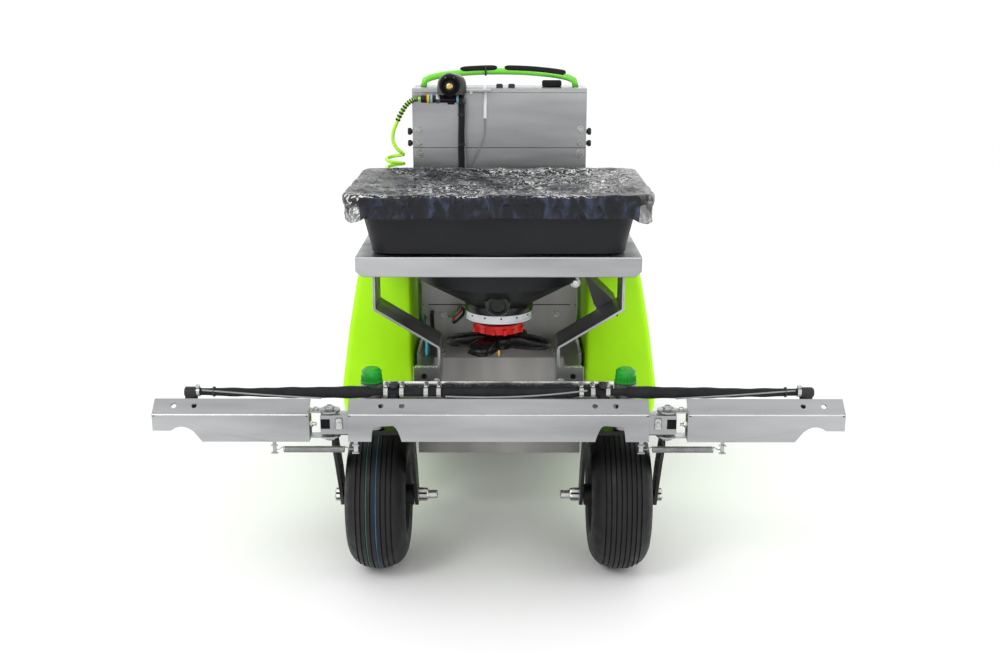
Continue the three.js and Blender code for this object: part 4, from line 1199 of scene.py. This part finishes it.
def make_handle_pads():
    curve = handle_curve()
    for name, start, end in (("left", -0.106, -0.006), ("right", 0.009, 0.176)):
        run = [p + Vector((0, 0.002, 0.0062)) for p in curve if start <= p.x <= end]
        count = len(run) - 1

        def pad_radius(share, count=count):
            rounding = min(1.0, share * count / 1.5, (1 - share) * count / 1.5)
            return 0.0074 + 0.0032 * math.sqrt(max(0.0, rounding))

        piece(f"handle_pad_{name}", Shape().tube(run, pad_radius, 22), "foam_rubber", flat_angle=60)
    tie_run = [p for p in curve if -0.045 <= p.x <= -0.033][:2]
    lift = Vector((0.004, 0.0004, 0.0002))
    tie = Shape().tube([tie_run[0] + Vector((0, 0, 0.003)), tie_run[0] + Vector((0, 0, 0.003)) + lift],
                       0.0145, 20)
    piece("handle_tie", tie, "black_plastic")
    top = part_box("control_box")[1].z
    stop = Shape().block(at(0.114, 0.628, top), at(0.166, 0.652, top + 0.017), 0.003)
    piece("handle_stop", stop, "foam_rubber")


def make_dash_details():
    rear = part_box("dash_panel")[1].y
    bezels = Shape()
    for x, z0, z1, half in ((0.120, 0.960, 1.060, 0.008), (-0.120, 0.960, 1.060, 0.008),
                            (0.044, 0.930, 1.030, 0.005)):
        for edge in (-1, 1):
            x0 = x + edge * (half + 0.004) - 0.003
            bezels.block((x0, rear + 0.0002, z0 - 0.006), (x0 + 0.006, rear + 0.004, z1 + 0.006), 0.001)
        for z in (z0 - 0.006, z1):
            bezels.block((x - half - 0.001, rear + 0.0002, z), (x + half + 0.001, rear + 0.004, z + 0.006),
                         0.001)
    piece("slot_bezels", bezels, "black_plastic")
    screws = Shape()
    for sign in (1, -1):
        for z in (0.85, 0.98, 1.11):
            screws.turned([(0.006, 0), (0.0055, 0.002), (0.003, 0.003)], (sign * 0.210, rear, z), BACKWARD,
                          16)
    piece("dash_screws", screws, "zinc")


def make_gauge():
    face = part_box("pressure_gauge")[1].y
    centre = middle("pressure_gauge")
    dial = Shape().turned([(0.0305, -0.001), (0.0305, 0.0006)], (centre.x, face, centre.z), BACKWARD, 40)
    piece("gauge_dial", dial, "gauge_face")
    marks = Shape()
    for step in range(11):
        turn = math.radians(225 - 27 * step)
        out = Vector((-math.cos(turn), 0, math.sin(turn)))
        foot = Vector((centre.x, face + 0.001, centre.z))
        marks.tube([foot + out * (0.021 if step % 5 else 0.018), foot + out * 0.0275], 0.0007, 6)
    hand = Vector((centre.x, face + 0.002, centre.z))
    marks.tube([hand, hand + Vector((0.014, 0, 0.016))], 0.0009, 6)
    marks.turned([(0.004, 0), (0.003, 0.003)], (centre.x, face + 0.0006, centre.z), BACKWARD, 20)
    piece("gauge_marks", marks, "shadow")
    ring = Shape().turned([(0.0305, 0), (0.0305, 0.003), (0.0345, 0.003), (0.0345, -0.001), (0.0305, 0)],
                          (centre.x, face, centre.z), BACKWARD, 48, caps=False)
    piece("gauge_ring", ring, "brass")


def make_lever_grips():
    for name in SIDES:
        low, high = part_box(f"drive_lever_{name}")
        centre_z = (low.z + high.z) / 2
        centre_y = high.y - 0.013
        grip = Shape()
        start, end = min(abs(low.x), abs(high.x)) - 0.001, max(abs(low.x), abs(high.x)) + 0.001
        profile = [(0.011, start)]
        ribs = 12
        for i in range(ribs):
            along = start + (end - start) * (i + 0.15) / ribs
            wide = start + (end - start) * (i + 0.75) / ribs
            profile += [(0.0135, along), (0.0155, along + 0.001), (0.0155, wide), (0.0135, wide + 0.001)]
        profile.append((0.011, end))
        sign = 1 if high.x > 0 else -1
        grip.turned(profile, (0, centre_y, centre_z), (sign, 0, 0), 24)
        piece(f"drive_grip_{name}", grip, "foam_rubber", f"drive_control_{name}")


# ---------- tanks ----------
def make_tank_details():
    for name, sign in LEFT_RIGHT:
        low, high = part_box(f"tank_lid_{name}")
        centre = middle(f"tank_lid_{name}")
        body = f"lid_{name}"
        knurls = Shape()
        radius = (high.x - low.x) / 2
        for turn in angles(28):
            out = spoke(turn)
            foot = Vector((centre.x, centre.y, low.z + 0.002)) + out * (radius - 0.0005)
            knurls.tube([foot, foot + Vector((0, 0, 0.019))], 0.003, 6)
        piece(f"tank_lid_knurls_{name}", knurls, "black_plastic", body)
        tank_low, tank_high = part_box(f"tank_{name}")
        edge_x = max(abs(tank_low.x), abs(tank_high.x))
        marks = Shape()
        for step in range(9):
            z = tank_low.z + 0.10 + 0.042 * step
            lean = edge_x - 0.0002 - 0.142 * max(0.0, z - 0.375)
            long = 0.030 if step % 4 == 0 else 0.016
            y0 = at(0, 0.42, 0).y
            marks.block((sign * (lean - 0.003), y0, z), (sign * (lean + 0.0006), y0 + long, z + 0.002),
                        0.0002)
        piece(f"tank_marks_{name}", marks, "shadow")
        drain = Shape().turned([(0.013, 0), (0.013, 0.012), (0.017, 0.014), (0.017, 0.026), (0.013, 0.029)],
                               at(sign * 0.30, 0.3335, 0.335), FORWARD, 12)
        piece(f"tank_drain_{name}", drain, "black_plastic")


# ---------- power unit and platform ----------
def make_engine_details():
    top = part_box("engine")[1].z
    centre = at(0, 0.930, 0)
    slots = Shape()
    for turn in angles(20):
        out = spoke(turn)
        foot = Vector((centre.x, centre.y, top + 0.0002))
        slots.tube([foot + out * 0.035, foot + out * 0.086], 0.0024, 6)
    piece("engine_screen_bars", slots, "black_plastic")
    cap = Shape().turned([(0.030, 0), (0.030, 0.004), (0.022, 0.008), (0.012, 0.009)],
                         (centre.x, centre.y, top), UP, 32)
    piece("engine_fan_cap", cap, "zinc")
    fins = Shape()
    for i in range(8):
        z = 0.305 + 0.017 * i
        fins.block(at(-0.166, 0.856, z), at(-0.098, 1.004, z + 0.005), 0.001)
    piece("cylinder_fins", fins, "cast_aluminium")
    filter_box = Shape().block(at(-0.055, 0.790, 0.400), at(0.055, 0.834, 0.520), 0.010)
    piece("air_filter", filter_box, "black_plastic")
    guard = Shape()
    for i in range(9):
        y = 0.845 + 0.018 * i
        band = [(0.031, 0), (0.034, 0.001), (0.034, 0.004), (0.031, 0.005), (0.031, 0)]
        guard.turned(band, at(0.165, y, 0.300), BACKWARD, 28, caps=False)
    piece("muffler_guard", guard, "black_steel")
    fuel_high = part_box("fuel_tank")[1]
    lid = Shape().turned([(0.036, -0.012), (0.036, 0.006), (0.032, 0.010), (0.02, 0.011)],
                         at(-0.07, 1.124, fuel_high.z), UP, 10)
    piece("fuel_cap", lid, "red_plastic")


def make_platform_mat():
    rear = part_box("platform")[1].y
    y0 = at(0, 1.222, 0).y
    top = 0.184
    mat = Shape().block((-0.184, y0, top), (0.184, rear - 0.016, top + 0.004), 0.0015)
    piece("platform_mat", mat, "foam_rubber", "operator_platform")
    ribs = Shape()
    for i in range(23):
        x = -0.176 + 0.016 * i
        ribs.block((x - 0.003, y0 + 0.008, top + 0.0038), (x + 0.003, rear - 0.024, top + 0.0068), 0.0012)
    piece("platform_ribs", ribs, "foam_rubber", "operator_platform")


make_tires()
make_tire_lines()
make_wheel_fittings()
make_rain_cover()
make_boom_springs()
make_wing_hoses()
make_centre_hose()
make_nozzle_details()
make_boom_hardware()
make_bend_highlights()
make_boom_holes()
make_hopper_port()
make_dial_marks()
make_gearbox_details()
make_impeller()
make_deflector_plate()
make_deflector_pivot()
make_gussets()
make_cavity_wires()
make_tower_details()
make_gun_details()
make_gun_fittings()
make_handle_pads()
make_dash_details()
make_gauge()
make_lever_grips()
make_tank_details()
make_engine_details()
make_platform_mat()


# ---------- carried-over nodes ----------
DEFAULT_MATERIAL = "black_plastic"
NODE_GROUPS = {
    "stainless_dark": ("frame",),
    "stainless": ("hopper_tray", "hopper_bracket", "boom_centre", "boom_wing", "control_box", "gate_plate"),
    "black_plastic": ("tank_lid",),
    "lime_plastic": ("tank",),
    "emerald_plastic": ("pivot_cap",),
    "lime_paint": ("handlebar",),
    "black_steel": ("caster_fork", "front_rim", "rear_rim", "dash_panel", "operator_bar", "platform"),
    "tyre_rubber": ("front_tire", "rear_tire"),
    "charcoal_plastic": ("hopper",),
    "white_plastic": ("metering_ring",),
    "red_plastic": ("spinner_gearbox", "regulator_knob"),
    "braided": ("boom_hose", "supply_hose"),
    "clear_vinyl": ("rain_cover",),
    "spring_steel": ("boom_spring", "muffler"),
    "zinc": ("ignition_key",),
    "lime_hose": ("recoil",),
    "brass": ("pressure_gauge",),
    "cast_aluminium": ("engine",),
}
NODE_MATERIALS = {prefix: material for material, group in NODE_GROUPS.items() for prefix in group}
EDGE_RADIUS = {"tank": 0.004, "hopper": 0.004, "frame": 0.001, "caster_fork": 0.0015, "platform": 0.002,
               "spray_pump": 0.004, "fuel_tank": 0.008, "engine": 0.004, "control_box": 0.0012,
               "handlebar": 0, "operator_bar": 0, "supply_hose": 0, "boom_hose": 0}
DEFAULT_EDGE = 0.0007


def longest_match(table, node, otherwise):
    """Value of the longest key that the node's name starts with."""
    matches = [key for key in table if node.startswith(key)]
    return table[max(matches, key=len)] if matches else otherwise


def dress(node, made):
    """Welds the facets of a CAD node, rounds its edges and gives it its material."""
    mesh = made.data
    for name in [a.name for a in mesh.attributes if a.name == "custom_normal"]:
        mesh.attributes.remove(mesh.attributes[name])
    mesh.polygons.foreach_set("use_smooth", [True] * len(mesh.polygons))
    mesh.materials.clear()
    mesh.materials.append(MATERIALS[longest_match(NODE_MATERIALS, node, DEFAULT_MATERIAL)])
    weld = made.modifiers.new("weld", "WELD")
    weld.merge_threshold = 0.00002
    width = longest_match(EDGE_RADIUS, node, DEFAULT_EDGE)
    if width:
        edge = made.modifiers.new("edge", "BEVEL")
        edge.width = width
        edge.segments = 2
        edge.limit_method = "ANGLE"
        edge.angle_limit = math.radians(32)
        edge.harden_normals = True
        edge.miter_outer = "MITER_ARC"


for node_name, node_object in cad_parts.items():
    if not node_object.hide_render:
        dress(node_name, node_object)


# ---------- floor and light ----------
def make_floor():
    mesh = bpy.data.meshes.new("floor")
    half = 9.0
    mesh.from_pydata([(-half, -half, 0), (half, -half, 0), (half, half, 0), (-half, half, 0)], [],
                     [(0, 1, 2, 3)])
    floor = bpy.data.objects.new("floor", mesh)
    floor.location.z = -0.0005
    material = surface("pale_floor", (0.95, 0.95, 0.95), 0.9, mottle=0.005, mottle_scale=2)
    mesh.materials.append(material)
    bpy.context.scene.collection.objects.link(floor)


def area_light(name, location, target, size, power):
    data = bpy.data.lights.new(name, "AREA")
    data.shape = "RECTANGLE"
    data.size, data.size_y = size
    data.energy = power
    light = bpy.data.objects.new(name, data)
    light.location = location
    light.rotation_euler = (Vector(target) - Vector(location)).to_track_quat("-Z", "Y").to_euler()
    bpy.context.scene.collection.objects.link(light)


def make_world():
    world = bpy.data.worlds.new("studio")
    world.use_nodes = True
    world.node_tree.nodes["Background"].inputs["Color"].default_value = (1.0, 1.0, 1.0, 1)
    world.node_tree.nodes["Background"].inputs["Strength"].default_value = 1.06
    bpy.context.scene.world = world


make_floor()
make_world()
area_light("key_light", (-2.4, -3.6, 3.6), (0, 0, 0.4), (1.6, 1.6), 60)
area_light("fill_light", (3.2, -2.4, 2.4), (0, 0, 0.5), (2.6, 2.0), 18)
area_light("back_light", (0.5, 3.6, 3.2), (0, 0, 0.6), (3.0, 1.6), 25)
bpy.context.scene.view_settings.view_transform = "Standard"
